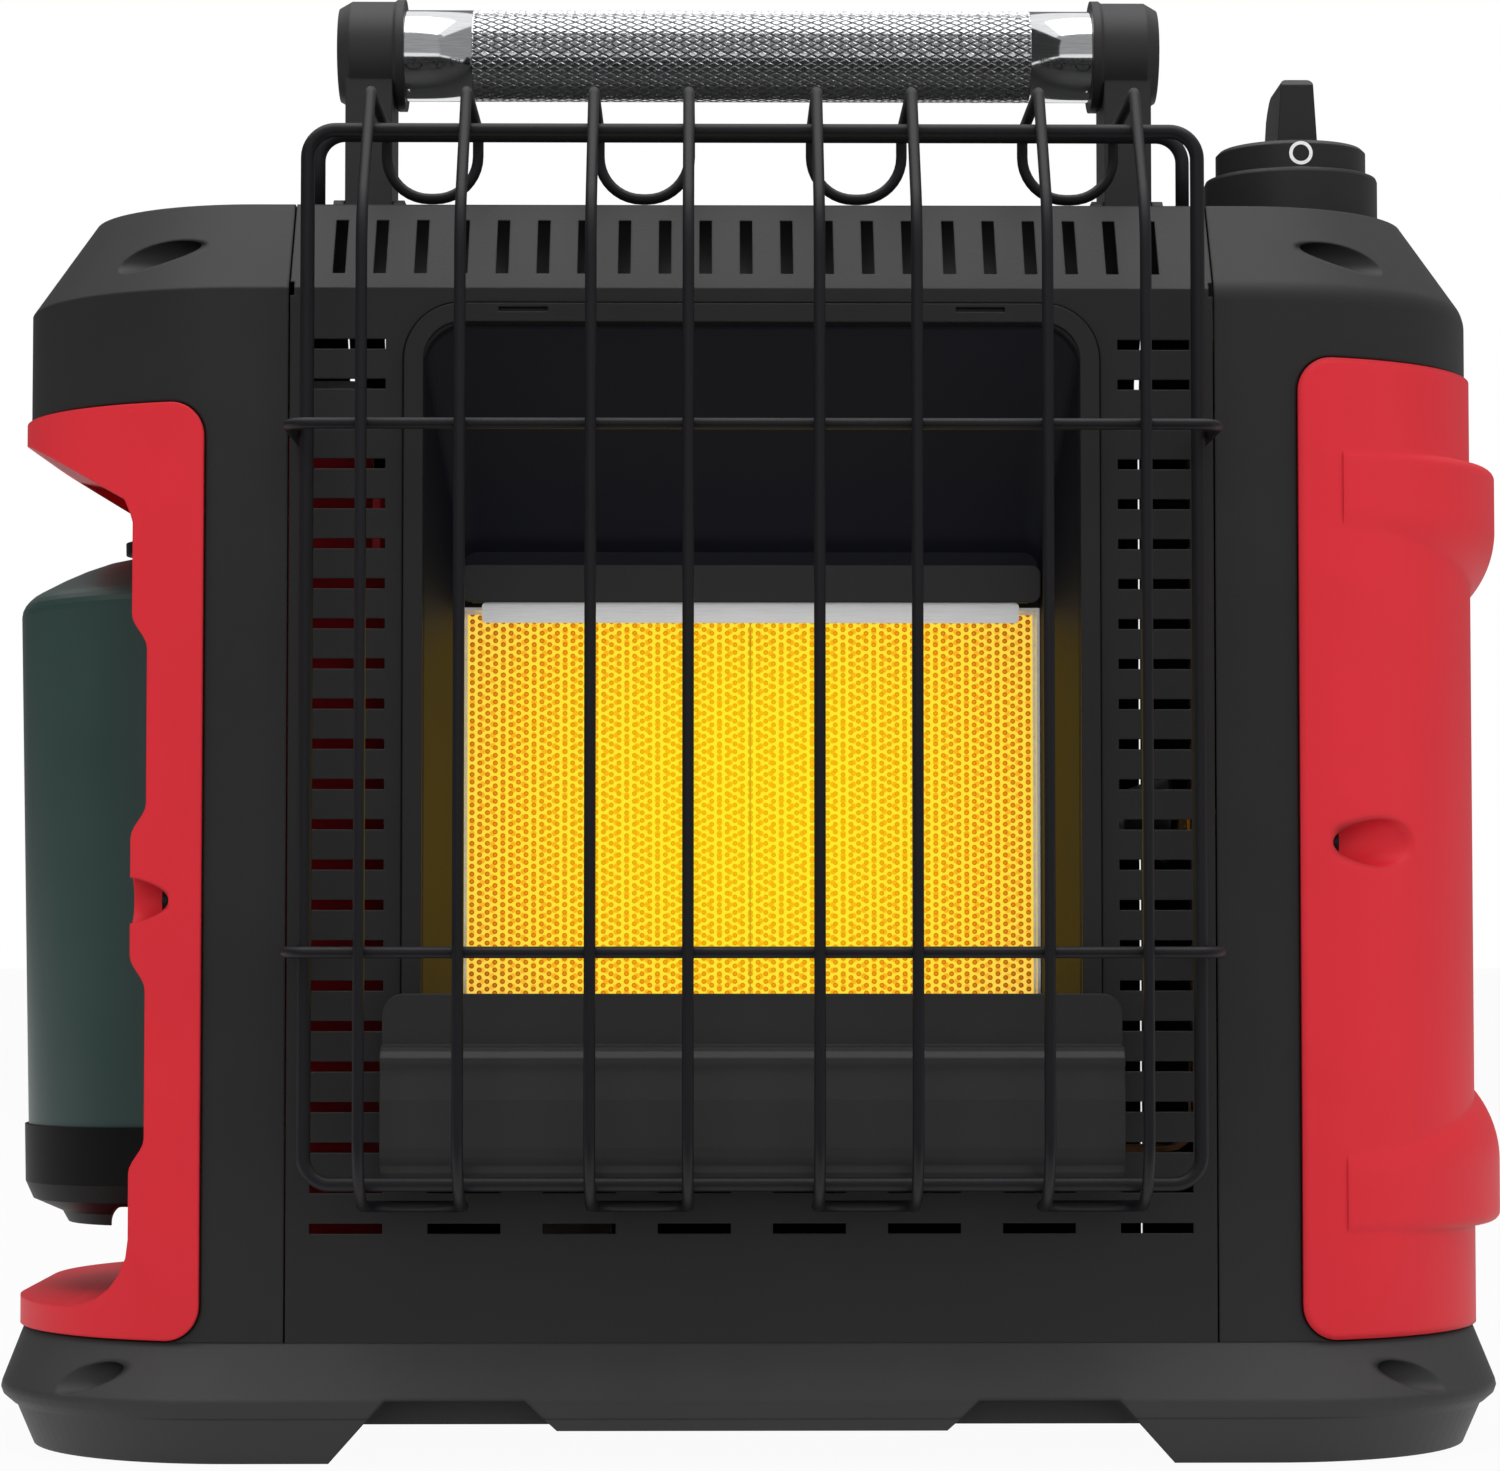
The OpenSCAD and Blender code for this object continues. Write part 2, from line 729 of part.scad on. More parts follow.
module burner_pan() {
    flange = 2.4;
    color("#1f1f1f") difference() {
        union() {
            funnel(sheet);
            // flange behind the front panel
            along_y(front_y + sheet, front_y + 2 * sheet) round_rect(
                -recess_w / 2 - flange, recess_w / 2 + flange, recess_bottom - flange,
                recess_top + flange, trim_r);
            // back plate that carries the burner
            along_y(tile_y - 1, tile_y) round_rect(
                -tile_w / 2 - 6, tile_w / 2 + 6, tile_bottom - 7, deflector_z + 12, 4);
        }
        difference() {
            funnel(0);
            along_y(tile_y - 1, tile_y + 1) square([far, far], center = true);
        }
        along_y(-far, tile_y + 2) translate([-tile_w / 2 - 2, tile_bottom - 2])
            square([tile_w + 4, tile_top - tile_bottom + 4]);
        // window in the floor for the pilot
        translate([pilot_x - 15, tile_y - 15, 0]) cube([32, 14, tile_bottom - 2]);
        along_y(-far, front_y + 2 * sheet + 0.5) round_rect(
            0.5 - recess_w / 2, recess_w / 2 - 0.5, recess_bottom + 0.5, recess_top - 0.5,
            trim_r - 3);
    }
}

// Two plaques side by side.
module ceramic_tiles() {
    joint = 0.4;
    color("#e0a83c") for (s = [-1, 1])
        translate([s > 0 ? joint / 2 : -tile_w / 2, tile_y, tile_bottom])
            cube([(tile_w - joint) / 2, tile_t, tile_top - tile_bottom]);
}

module tile_frame() {
    lip = 1.8;
    rim = 0.8;
    color(zinc) difference() {
        translate([-tile_w / 2 - lip, tile_y - 1.4, tile_bottom - lip])
            cube([tile_w + 2 * lip, tile_t + 1.4, tile_top - tile_bottom + 2 * lip]);
        translate([-tile_w / 2, tile_y - 5, tile_bottom])
            cube([tile_w, tile_t + 10, tile_top - tile_bottom]);
        // open joint between the rim and the tiles
        translate([rim - lip - tile_w / 2, tile_y - 5, tile_bottom - lip + rim])
            cube([tile_w + 2 * (lip - rim), 8, tile_top - tile_bottom + 2 * (lip - rim)]);
    }
}

module plenum_box() {
    over = 6;
    depth = plenum_d + tile_t;
    color("#5d5f60") difference() {
        translate([-tile_w / 2 - over, tile_y, tile_bottom - over])
            cube([tile_w + 2 * over, depth, tile_top - tile_bottom + 2 * over]);
        translate([-tile_w / 2 - 1.8, tile_y - 1, tile_bottom - 1.8])
            cube([tile_w + 3.6, tile_t + 1, tile_top - tile_bottom + 3.6]);
        translate([5 - tile_w / 2, tile_y, tile_bottom + 5])
            cube([tile_w - 10, depth - sheet, tile_top - tile_bottom - 10]);
        translate([0, venturi_y, venturi_z]) rotate([0, 90, 0]) cylinder(d = 18, h = far);
    }
}

module reflector_strip() {
    half = tile_w / 2 - 4;
    color("#d8dadb") union() {
        along_y(tile_y - 5.4, tile_y - 4.6) round_rect(-half, half, strip_z, strip_z + strip_h, 1.2);
        translate([-half + 2, tile_y - 5.4, strip_z + strip_h - 0.8]) cube([2 * half - 4, 4, 0.8]);
    }
}

module upper_deflector() {
    half = tile_w / 2 + 1.6;
    color(steel_black) union() {
        along_y(tile_y - 7, tile_y - 6) round_rect(-half, half, deflector_z, deflector_z + 9.8, 2.4);
        translate([-half + 3, tile_y - 7, deflector_z]) cube([2 * half - 6, 6, 1]);
    }
}

// Section of the lower shield: upright lip, a pressed bead, a bulging lower
// part and a curl back under it.
module shield_section(t) {
    out = front_y - shield_out;
    step_z = shield_bottom + 30;
    inner = 7;
    r = 9;
    polygon([
        [out + inner, shield_top], [out + inner, step_z + 4.4], [out + 3.2, step_z + 4],
        [out + 1.2, step_z + 3], [out, step_z + 1.4], [out, step_z], [out + 1, step_z - 1.2],
        [out, step_z - 9], [out, shield_bottom + r],
        for (a = [180 : 15 : 300]) [out + r + r * cos(a), shield_bottom + r + r * sin(a)],
        for (a = [300 : -15 : 180])
            [out + r + (r - t) * cos(a), shield_bottom + r + (r - t) * sin(a)],
        [out + t, step_z - 9], [out + 1 + t, step_z - 1], [out + 1 + t, step_z + 1.6],
        [out + 3.2 + t, step_z + 3], [out + inner + t, step_z + 3.4],
        [out + inner + t, shield_top]
    ]);
}

module lower_shield() {
    half = shield_w / 2;
    reach = shield_out - 7 - trim_t;
    color("#242424") union() {
        intersection() {
            along_x(half) shield_section(sheet);
            along_y(-far, far) round_rect(-half, half, -far, shield_top, 5.3);
        }
        // ears that carry it on the recess trim
        for (s = [-1, 1])
            translate([s > 0 ? trim_out - 3 : 2 - trim_out, front_y - trim_t - reach,
                       recess_bottom + 22]) cube([1, reach, 6]);
    }
}

// ------------------------------------------------------------- guard

module guard_ring() {
    half = ring_w / 2;
    corner = 7;
    color("#161616") wire(round_loop([
        [-half, ring_y, ring_bottom], [-half, ring_y, ring_z],
        [half, ring_y, ring_z], [half, ring_y, ring_bottom]
    ], [corner, corner, corner, corner], 6), ring_d, [0, 1, 0], true, 10);
}

// One closed hairpin: up the front, back over the ring, down into a hanging
// loop, and joined again under the shield.
function hairpin(a, b) =
    let (low = ring_bottom - (ring_d + wire_d) / 2 - 1.5, back = ring_y + 12, loop = run_z - 18)
    round_loop([
        [a, wire_y, low + 1], [a, wire_y, lean_z], [a, tip_y, run_z], [a, run_back_y, run_z],
        [a, run_back_y, loop], [b, run_back_y, loop],
        [b, run_back_y, run_z], [b, tip_y, run_z], [b, wire_y, lean_z], [b, wire_y, low + 1],
        [b, back, low - 1.5], [a, back, low - 1.5]
    ], [18, 30, 3.4, 3.6, 11.4, 11.4, 3.6, 3.4, 30, 18, 9, 9], 5);

module guard_uprights() {
    color("#161616") for (pair = upright_x)
        wire(hairpin(pair[0], pair[1]), wire_d, [1, 0, 0], true);
}

module guard_cross_wires() {
    half = ring_w / 2 + (ring_d + wire_d) / 2;
    y = wire_y + wire_d;
    color("#161616") for (z = cross_z)
        wire(round_path([
            [-half, front_y, z], [-half, y, z], [half, y, z], [half, front_y, z]
        ], [6, 6], 6), wire_d, [0, 0, 1]);
}

// The hoop behind the ring that carries the guard on the hood.
module guard_stay() {
    half = ring_w / 2 + 1.6;
    color("#161616") wire(round_path([
        [-half, stay_y, casing_top], [-half, stay_y, stay_z],
        [half, stay_y, stay_z], [half, stay_y, casing_top]
    ], [7, 7], 6), ring_d, [0, 1, 0], false, 10);
}

// ------------------------------------------------------------- handle

module handle_tube() {
    color("#c9cccf") translate([-tube_l / 2 - 8, 0, tube_z]) rotate([0, 90, 0])
        difference() {
            cylinder(d = tube_d, h = tube_l + 16);
            translate([0, 0, -1]) cylinder(d = tube_d - 3, h = tube_l + 18);
        }
}

// One end: the cap on the tube and the post down to the pivot.
module handle_end() {
    cap_x = tube_l / 2;
    lip = 2.2;
    difference() {
        union() {
            translate([cap_x, 0, tube_z]) rotate([0, 90, 0]) rotate_extrude() polygon([
                [0, 0], [cap_d / 2 + 0.6, 0], [cap_d / 2 + 0.6, lip], [cap_d / 2, lip + 0.8],
                [cap_d / 2, cap_l - 3.5], [cap_d / 2 - 2, cap_l], [0, cap_l]
            ]);
            translate([post_x - post_w / 2, -post_d / 2, pivot_z])
                cube([post_w, post_d, tube_z - pivot_z]);
            translate([post_x - post_w / 2, -post_d / 2, pivot_z - post_toe])
                cube([post_w, post_d - post_toe, post_toe]);
            translate([post_x - post_w / 2, pivot_y, pivot_z]) rotate([0, 90, 0])
                cylinder(r = post_toe, h = post_w);
        }
        translate([cap_x - 1, 0, tube_z]) rotate([0, 90, 0]) cylinder(d = tube_d, h = 9);
        translate([post_x - post_w, pivot_y, pivot_z]) rotate([0, 90, 0])
            cylinder(d = pin_d + 2 * play, h = 2 * post_w);
    }
}

module handle_ends() {
    color("#232323") {
        handle_end();
        mirror([1, 0, 0]) handle_end();
    }
}

// A clevis of two cheeks on a floor.
module handle_bracket() {
    inner = post_w / 2 + cheek_gap;
    difference() {
        union() {
            for (s = [-1, 1])
                translate([post_x + (s > 0 ? inner : -inner - cheek), 0, 0])
                    rotate([90, 0, 90]) linear_extrude(cheek)
                        round_rect(-post_d / 2, post_d / 2, casing_top - 4, casing_top + cheek_h, 4);
            translate([post_x - inner - eps, -post_d / 2, casing_top])
                cube([2 * inner + 2 * eps, post_d, bracket_floor]);
        }
        translate([0, -far, casing_top - 20]) cube([far, 2 * far, 20]);
        translate([post_x - 20, pivot_y, pivot_z]) rotate([0, 90, 0]) cylinder(d = pin_d, h = 40);
    }
}

module handle_brackets() {
    color("#1d1d1d") {
        handle_bracket();
        mirror([1, 0, 0]) handle_bracket();
    }
}

module handle_pins() {
    l = post_w + 2 * (cheek_gap + cheek);
    color(zinc) for (s = [-1, 1]) translate([s * post_x, pivot_y, pivot_z]) rotate([0, 90, 0]) {
        translate([0, 0, -l / 2]) cylinder(d = pin_d, h = l);
        for (t = [-1, 1]) translate([0, 0, t > 0 ? l / 2 : -l / 2 - 1]) cylinder(d = pin_d + 3, h = 1);
    }
}

// ------------------------------------------------------------- knob and valve

module at_knob(z) {
    translate([knob_x, knob_y, z]) children();
}

// The grip blade: tapered and rounded across, falling away at its rear end.
module blade() {
    half = knob_d / 4 + 3.5;
    top = blade_w / 2 - 1;
    nose = 1.6;
    intersection() {
        along_y(-half, half) polygon(concat(
            [[-blade_w / 2, -eps], [blade_w / 2, -eps]],
            [for (a = [0 : 15 : 90])
                [top - nose + nose * cos(a), blade_h - nose + nose * sin(a)]],
            [for (a = [90 : 15 : 180])
                [nose - top + nose * cos(a), blade_h - nose + nose * sin(a)]]));
        along_x(blade_w) polygon([
            [-half, -1], [half, -1], [half, blade_h - 6.5], [half - 1.6, blade_h - 4.2],
            [half - 4, blade_h - 2.2], [half - 7.5, blade_h - 0.7], [half - 12, blade_h],
            [nose - half, blade_h], [-half, blade_h - nose]
        ]);
    }
}

module knob() {
    color("#1c1c1c") difference() {
        union() {
            at_knob(bezel_top - skirt_h) rotate_extrude() polygon([
                [0, 0], [knob_d / 2, 0], [knob_d / 2, skirt_h + knob_h - 1],
                [knob_d / 2 - 1, skirt_h + knob_h], [0, skirt_h + knob_h]
            ]);
            at_knob(bezel_top + knob_h) blade();
        }
        at_knob(valve_top) cylinder(d = stem_d, h = stem_top - valve_top);
    }
}

module knob_bezel() {
    well = knob_travel + skirt_h + 0.6;
    color("#191919") at_knob(casing_top) rotate_extrude() polygon([
        [plunger_d / 2 + 2, 0], [bezel_d / 2, 0], [bezel_d / 2, bezel_h - 1.2],
        [bezel_d / 2 - 0.35, bezel_h - 0.35], [bezel_d / 2 - 1.2, bezel_h], [knob_d / 2 + 0.5, bezel_h],
        [knob_d / 2 + 0.5, bezel_h - well], [plunger_d / 2 + 2, bezel_h - well]
    ]);
}

// The turning spindle, with the collar that pushes the plunger.
module valve_stem() {
    color(brass) union() {
        at_knob(valve_top - 8) cylinder(d = stem_d, h = stem_top - valve_top + 8);
        at_knob(plunger_z + plunger_h) cylinder(d = stem_d + 3, h = collar_h);
    }
}

module valve_plunger() {
    color(zinc) at_knob(plunger_z) difference() {
        cylinder(d = plunger_d, h = plunger_h);
        translate([0, 0, -1]) cylinder(d = stem_d + 2 * play, h = plunger_h + 2);
    }
}

// A helical spring between the valve and the plunger.
module stem_spring() {
    d = 1;
    turns = 5;
    steps = 12;
    rise = plunger_z - valve_top - d - 0.1;
    r = stem_d / 2 + 1.4;
    color(zinc) at_knob(valve_top + d / 2 + 0.05) wire([
        for (i = [0 : turns * steps])
            let (a = 360 * i / steps) [r * cos(a), r * sin(a), rise * i / (turns * steps)]
    ], d, [1, 0, 0], false, 6);
}

module gas_valve() {
    color("#a9905a") difference() {
        union() {
            at_knob(valve_top - valve_h) translate([-valve_w / 2, -valve_w / 2, 0])
                cube([valve_w, valve_w, valve_h - 6]);
            at_knob(valve_top - 6) cylinder(d = valve_w - 4, h = 6);
            at_knob(valve_top - 16) rotate([-90, 0, 0]) cylinder(d = 14, h = valve_w / 2 + 8);
            at_knob(valve_top - valve_h - 6) cylinder(d = 13, h = 6 + eps);
        }
        at_knob(valve_top - 15) cylinder(d = stem_d + 2 * play, h = 16);
    }
}

// Sheet cradle that hangs the valve from the housing's top.
module valve_bracket() {
    half = valve_w / 2 + 7;
    top = casing_top - wall;
    color("#3a3a3a") difference() {
        at_knob(0) union() {
            translate([-half, -12, valve_top - 6]) cube([2 * half, 24, 1.5]);
            for (s = [-1, 1]) translate([s > 0 ? half - 1.5 : -half, -12, valve_top - 6])
                cube([1.5, 24, top - valve_top + 6]);
        }
        at_knob(valve_top - 8) cylinder(d = valve_w - 4 + 0.1, h = 5);
    }
}

// ------------------------------------------------------------- hanging gas parts

// Two cheeks on the bay's ceiling that hold the swing pin.
module swing_bracket() {
    y = lug_l / 2 + 0.3;
    floor_z = bay_top + bay_wall;
    color("#3a3a3a") difference() {
        for (s = [-1, 1]) mirror([0, s < 0 ? 1 : 0, 0]) union() {
            translate([-swing_x - 9, y, floor_z]) cube([18, 2.4, swing_z + 9 - floor_z]);
            translate([-swing_x - 9, y, floor_z]) cube([18, 14, 1.5]);
        }
        translate([-swing_x, -far, swing_z]) rotate([-90, 0, 0])
            cylinder(d = swing_pin_d, h = 2 * far);
    }
}

module swing_pin() {
    y = lug_l / 2 + 0.3 + 2.4;
    color(brass) translate([-swing_x, 0, swing_z]) rotate([-90, 0, 0]) {
        translate([0, 0, -y]) cylinder(d = swing_pin_d, h = 2 * y);
        translate([0, 0, -y - 2]) cylinder(d = swing_pin_d + 4, h = 2);
        translate([0, 0, y]) cylinder(d = swing_pin_d + 4, h = union_y - y);
    }
}

module regulator() {
    color("#8d9093") hang() difference() {
        union() {
            // swing lug across the pin
            translate([-swing_x, lug_l / 2, swing_z]) rotate([90, 0, 0]) cylinder(d = lug_d, h = lug_l);
            // diaphragm housing
            translate([-tank_x - 1, 0, reg_z]) rotate([0, 90, 0]) rotate_extrude() polygon([
                [0, 0], [reg_d / 2 - 3, 0], [reg_d / 2, 3], [reg_d / 2, 12], [reg_d / 2 + 3, 12],
                [reg_d / 2 + 3, 17], [reg_d / 2, 17], [reg_d / 2 - 2, 24], [10, 28], [0, 28]
            ]);
            // arm from the housing to the lug
            translate([-tank_x + 14, -7, reg_z]) cube([tank_x - 14 - swing_x, 14, swing_z - reg_z]);
            // inlet neck
            translate([-tank_x, 0, crown_z + 4]) cylinder(d = neck_d + 3, h = reg_z - crown_z - 4);
        }
        translate([-swing_x, far, swing_z]) rotate([90, 0, 0])
            cylinder(d = swing_pin_d + 2 * play, h = 2 * far);
        translate([-tank_x, 0, 0]) cylinder(d = neck_d + 0.6, h = crown_z + neck_h + 0.3);
    }
}

// The hand nut round the inlet.
module regulator_nut() {
    color("#141414") hang() translate([-tank_x, 0, crown_z + 0.8]) difference() {
        cylinder(d = nut_d, h = 3.2);
        translate([0, 0, -1]) cylinder(d = neck_d + 0.6, h = 6);
    }
}

// The pressed steel shell, standing on the cup's floor, open at the crown.
module tank() {
    r = tank_d / 2;
    shell_h = tank_h - shell_rise;
    crown_h = 16.5;
    // how far in from the wall and how far up each point of the crown lies
    crown = [[0, 0], [0.3, 1.6], [1, 3], [2.1, 4.3], [3.5, 5.5], [5.2, 6.5], [11.3, 9.6],
             [17.3, 12.2], [23.7, 14.4], [31.3, 16]];
    base_curve = 8;
    mouth = neck_d / 2 - 3;
    outer = [
        for (a = [0 : 15 : 90]) [r - base_curve + base_curve * sin(a), base_curve - base_curve * cos(a)],
        for (q = crown) [r - q[0], shell_h - crown_h + q[1]],
        [mouth, shell_h]
    ];
    inner = [for (p = outer) [
        p[0] > mouth + 3 ? p[0] - tank_wall * (p[1] < base_curve ? 0.6 : 1) : mouth,
        p[1] < tank_h / 2 ? max(p[1], tank_wall) : p[1] - tank_wall]];
    color("#2f403c") hang() translate([-tank_x, 0, tank_z + shell_rise]) rotate_extrude() polygon(concat(
        [[0, 0]], outer, [for (i = [len(inner) - 1 : -1 : 0]) inner[i]], [[0, tank_wall]]));
}

// The plastic foot, with arched openings between its legs.
module tank_cup() {
    r = cup_d / 2;
    skin = 0.9;
    arch_half = 23;
    arch_h = 5.6;
    color("#1e1e1e") hang() translate([-tank_x, 0, tank_z]) difference() {
        rotate_extrude() polygon([
            [r - 13, 0], [r - 11.5, 0], [r - 9.9, 3], [r - 2, 6.7], [r, 11.4], [r, cup_h],
            [r - skin, cup_h], [r - skin, 12.7], [r - 2.7, 8.5], [r - 3.5, shell_rise],
            [r - 13, shell_rise]
        ]);
        for (a = [30 : 120 : 270]) rotate([0, 0, a]) rotate([90, 0, 90]) linear_extrude(far)
            round_rect(-arch_half, arch_half, -arch_half, arch_h, 5);
    }
}

module tank_valve() {
    color(brass) hang() translate([-tank_x, 0, crown_z - 2]) difference() {
        rotate_extrude() polygon([
            [0, 0], [neck_d / 2 - 3, 0], [neck_d / 2 - 3, 2], [neck_d / 2, 2],
            [neck_d / 2, neck_h + 1], [neck_d / 2 - 1, neck_h + 2], [0, neck_h + 2]
        ]);
        translate([0, 0, 6]) cylinder(d = 9, h = 20);
    }
}

// ------------------------------------------------------------- pipes

module supply_pipe() {
    color("#b98a55") wire(round_path([
        [-swing_x, union_y, swing_z], [-swing_x, supply_y + 12, swing_z],
        [knob_x, supply_y + 12, valve_top - 16],
        [knob_x, knob_y + valve_w / 2 + 8, valve_top - 16]
    ], [12, 12], 5), pipe_d, [0, 0, 1], false, 10);
}

module burner_pipe() {
    start = valve_top - valve_h - 6;
    color("#b98a55") wire(round_path([
        [knob_x, knob_y, start], [knob_x, knob_y, start - 30],
        [knob_x, venturi_y, start - 50], [knob_x, venturi_y, venturi_z],
        [venturi_x + 46, venturi_y, venturi_z]
    ], [8, 8, 12], 4), pipe_d - 2, [1, 0, 0], false, 10);
}

module pilot_pipe() {
    x = knob_x - valve_w / 2;
    low = recess_bottom - 12;
    color("#b98a55") wire(round_path([
        [x, knob_y, valve_top - valve_h + 8], [x - 12, knob_y, valve_top - valve_h + 8],
        [x - 12, knob_y, low], [pilot_x, knob_y, low], [pilot_x, tile_y - 9, low],
        [pilot_x, tile_y - 9, recess_bottom + 4]
    ], [5, 8, 8, 8, 5], 4), 4, [0, 1, 0], false, 8);
}

module venturi_tube() {
    color("#84888b") translate([venturi_x + 2, venturi_y, venturi_z]) rotate([0, 90, 0])
        rotate_extrude() polygon([
            [6.5, 0], [9, 0], [9, 4], [11, 4], [11, 5.5], [8, 5.5], [7.5, 20], [12, 32],
            [11.2, 33], [6, 21], [6.5, 5]
        ]);
}

module gas_jet() {
    color(brass) translate([venturi_x + 32, venturi_y, venturi_z]) rotate([0, 90, 0])
        difference() {
            union() {
                cylinder(d1 = 5, d2 = 9, h = 5);
                translate([0, 0, 5]) cylinder(d = 11, h = 9, $fn = 6);
            }
            translate([0, 0, -1]) cylinder(d = 1, h = 12, $fn = 16);
        }
}

// ------------------------------------------------------------- pilot

module pilot_bracket() {
    z = recess_bottom + 4;
    color("#6d6f70") difference() {
        union() {
            translate([pilot_x - 14, tile_y - 16, z]) cube([30, 15, 1.2]);
            translate([pilot_x - 14, tile_y - 2.2, z]) cube([30, 1.2, tile_bottom - 2.1 - z]);
        }
        translate([pilot_x + 9, tile_y - 9, 0]) cylinder(d = 5, h = far);
        translate([pilot_x - 8, tile_y - 9, 0]) cylinder(d = 5, h = far);
    }
}

module pilot_burner() {
    color("#96989a") translate([pilot_x, tile_y - 9, recess_bottom + 5.2]) difference() {
        union() {
            cylinder(d = 9, h = 4, $fn = 6);
            cylinder(d = 7, h = 16);
        }
        translate([0, 0, 8]) cylinder(d = 4, h = 20);
        translate([0, 0, 12]) rotate([-90, 0, 0]) cylinder(d = 3, h = 20);
    }
}

module spark_rod() {
    color("#e9e6df") translate([pilot_x + 9, tile_y - 9, recess_bottom - 6]) union() {
        cylinder(d = 4.8, h = 20);
        cylinder(d = 1.8, h = 30);
    }
}

module thermocouple() {
    color("#b0805a") translate([pilot_x - 8, tile_y - 9, recess_bottom - 10]) union() {
        cylinder(d = 4.8, h = 18);
        cylinder(d = 3.2, h = 34);
    }
}

// ------------------------------------------------------------- small parts

module tip_switch() {
    color("#d7d3c8") translate([-62, 30, base_h]) union() {
        cube([26, 22, 3]);
        translate([3, 3, 3]) cube([20, 16, 24]);
    }
}

// One round-headed screw along X, its head seated at the hollow's end.
module scoop_screws(place, d) {
    for (s = [-1, 1]) translate([place[2], s * (half_d - place[1]), place[0]])
        rotate([0, 90, 0]) difference() {
            cylinder(d = min(head_d, d - 1), h = head_h);
            translate([-2.2, -0.5, head_h - 0.9]) cube([4.4, 1, 2]);
            translate([-0.5, -2.2, head_h - 0.9]) cube([1, 4.4, 2]);
        }
}

module casing_screws() {
    color(zinc) {
        scoop_screws(shoulder_scoop, scoop_d);
        scoop_screws(cover_scoop, cover_scoop_d);
        scoop_screws(base_scoop, scoop_d);
        mirror([1, 0, 0]) {
            scoop_screws(shoulder_scoop, scoop_d);
            scoop_screws(frame_scoop, cover_scoop_d);
            scoop_screws(base_scoop, scoop_d);
        }
    }
}

module panel_screws() {
    color(zinc) for (s = [-1, 1], z = [base_h + 12, fold_z - 6])
        translate([s * (half_p - 6), half_d, z]) rotate([-90, 0, 0]) difference() {
            cylinder(d = head_d, h = head_h);
            translate([-2.2, -0.5, head_h - 0.9]) cube([4.4, 1, 2]);
        }
}

base_tray();
foot_pads();
front_panel();
top_plate();
rear_panel();
left_housing();
right_housing();
bay_liner();
side_cover();
recess_frame();
burner_pan();
plenum_box();
ceramic_tiles();
tile_frame();
reflector_strip();
upper_deflector();
lower_shield();
guard_ring();
guard_uprights();
guard_cross_wires();
guard_stay();
handle_tube();
handle_ends();
handle_brackets();
handle_pins();
knob();
knob_bezel();
valve_stem();
valve_plunger();
stem_spring();
gas_valve();
valve_bracket();
swing_bracket();
swing_pin();
regulator();
regulator_nut();
tank();
tank_cup();
tank_valve();
supply_pipe();
burner_pipe();
pilot_pipe();
venturi_tube();
gas_jet();
pilot_bracket();
pilot_burner();
spark_rod();
thermocouple();
tip_switch();
casing_screws();
panel_screws();
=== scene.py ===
"""The looks of a portable propane heater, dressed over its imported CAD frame.

Everything is in metres in the row's frame: +Z up, the glowing face looks
along -Y and the gas cylinder hangs on the -X side.
"""
import math

import bpy
import numpy as np
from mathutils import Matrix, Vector


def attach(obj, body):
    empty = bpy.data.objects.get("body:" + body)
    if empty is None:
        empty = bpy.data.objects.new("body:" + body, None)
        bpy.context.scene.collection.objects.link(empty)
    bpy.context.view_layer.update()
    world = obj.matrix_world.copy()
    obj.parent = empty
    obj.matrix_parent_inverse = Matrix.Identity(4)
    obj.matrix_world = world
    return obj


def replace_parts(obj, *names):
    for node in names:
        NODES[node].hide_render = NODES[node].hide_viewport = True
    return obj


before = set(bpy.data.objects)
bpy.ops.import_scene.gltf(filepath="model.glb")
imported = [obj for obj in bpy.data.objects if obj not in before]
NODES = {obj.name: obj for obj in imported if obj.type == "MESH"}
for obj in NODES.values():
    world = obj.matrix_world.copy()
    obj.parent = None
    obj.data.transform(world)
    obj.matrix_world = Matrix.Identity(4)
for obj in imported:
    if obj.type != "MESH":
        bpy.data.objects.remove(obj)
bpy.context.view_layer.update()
MM = 0.001
WORLD_LIGHT = 0.45

# ---------------------------------------------------------------- sizes (mm)
CASING_TOP = 325.5
FRONT_Y = -92.0
TILE_W, TILE_BOTTOM, TILE_TOP, TILE_Y, TILE_T = 150.0, 112.0, 219.0, -57.0, 12.0
RING_D, WIRE_D, RING_W = 3.6, 2.9, 224.6
WIRE_Y = FRONT_Y - 45.0
RING_BOTTOM = 72.0
LEAN_Z = CASING_TOP - 13.5
RUN_Z = CASING_TOP + 22.5
TIP_Y = WIRE_Y + 25.0
RING_Z = CASING_TOP + 11.7
TUBE_Z, TUBE_D, TUBE_L = CASING_TOP + 55.4, 25.4, 192.0
KNOB = (147.0, -39.0)
KNOB_D = 40.4
BEZEL_TOP = CASING_TOP + 13.2
HAIRPIN_X = ((-96.9, -72.6), (-40.3, -16.2), (16.2, 40.3), (72.6, 96.9))
CROSS_Z = (130, 260.6)
# the place of the dark sheet of painted shade behind the rear vents
VENT_SHADE_X, VENT_SHADE_Y, VENT_SHADE_Z = (92.0, 115.5), (90.3, 90.9), (54.0, 291.0)


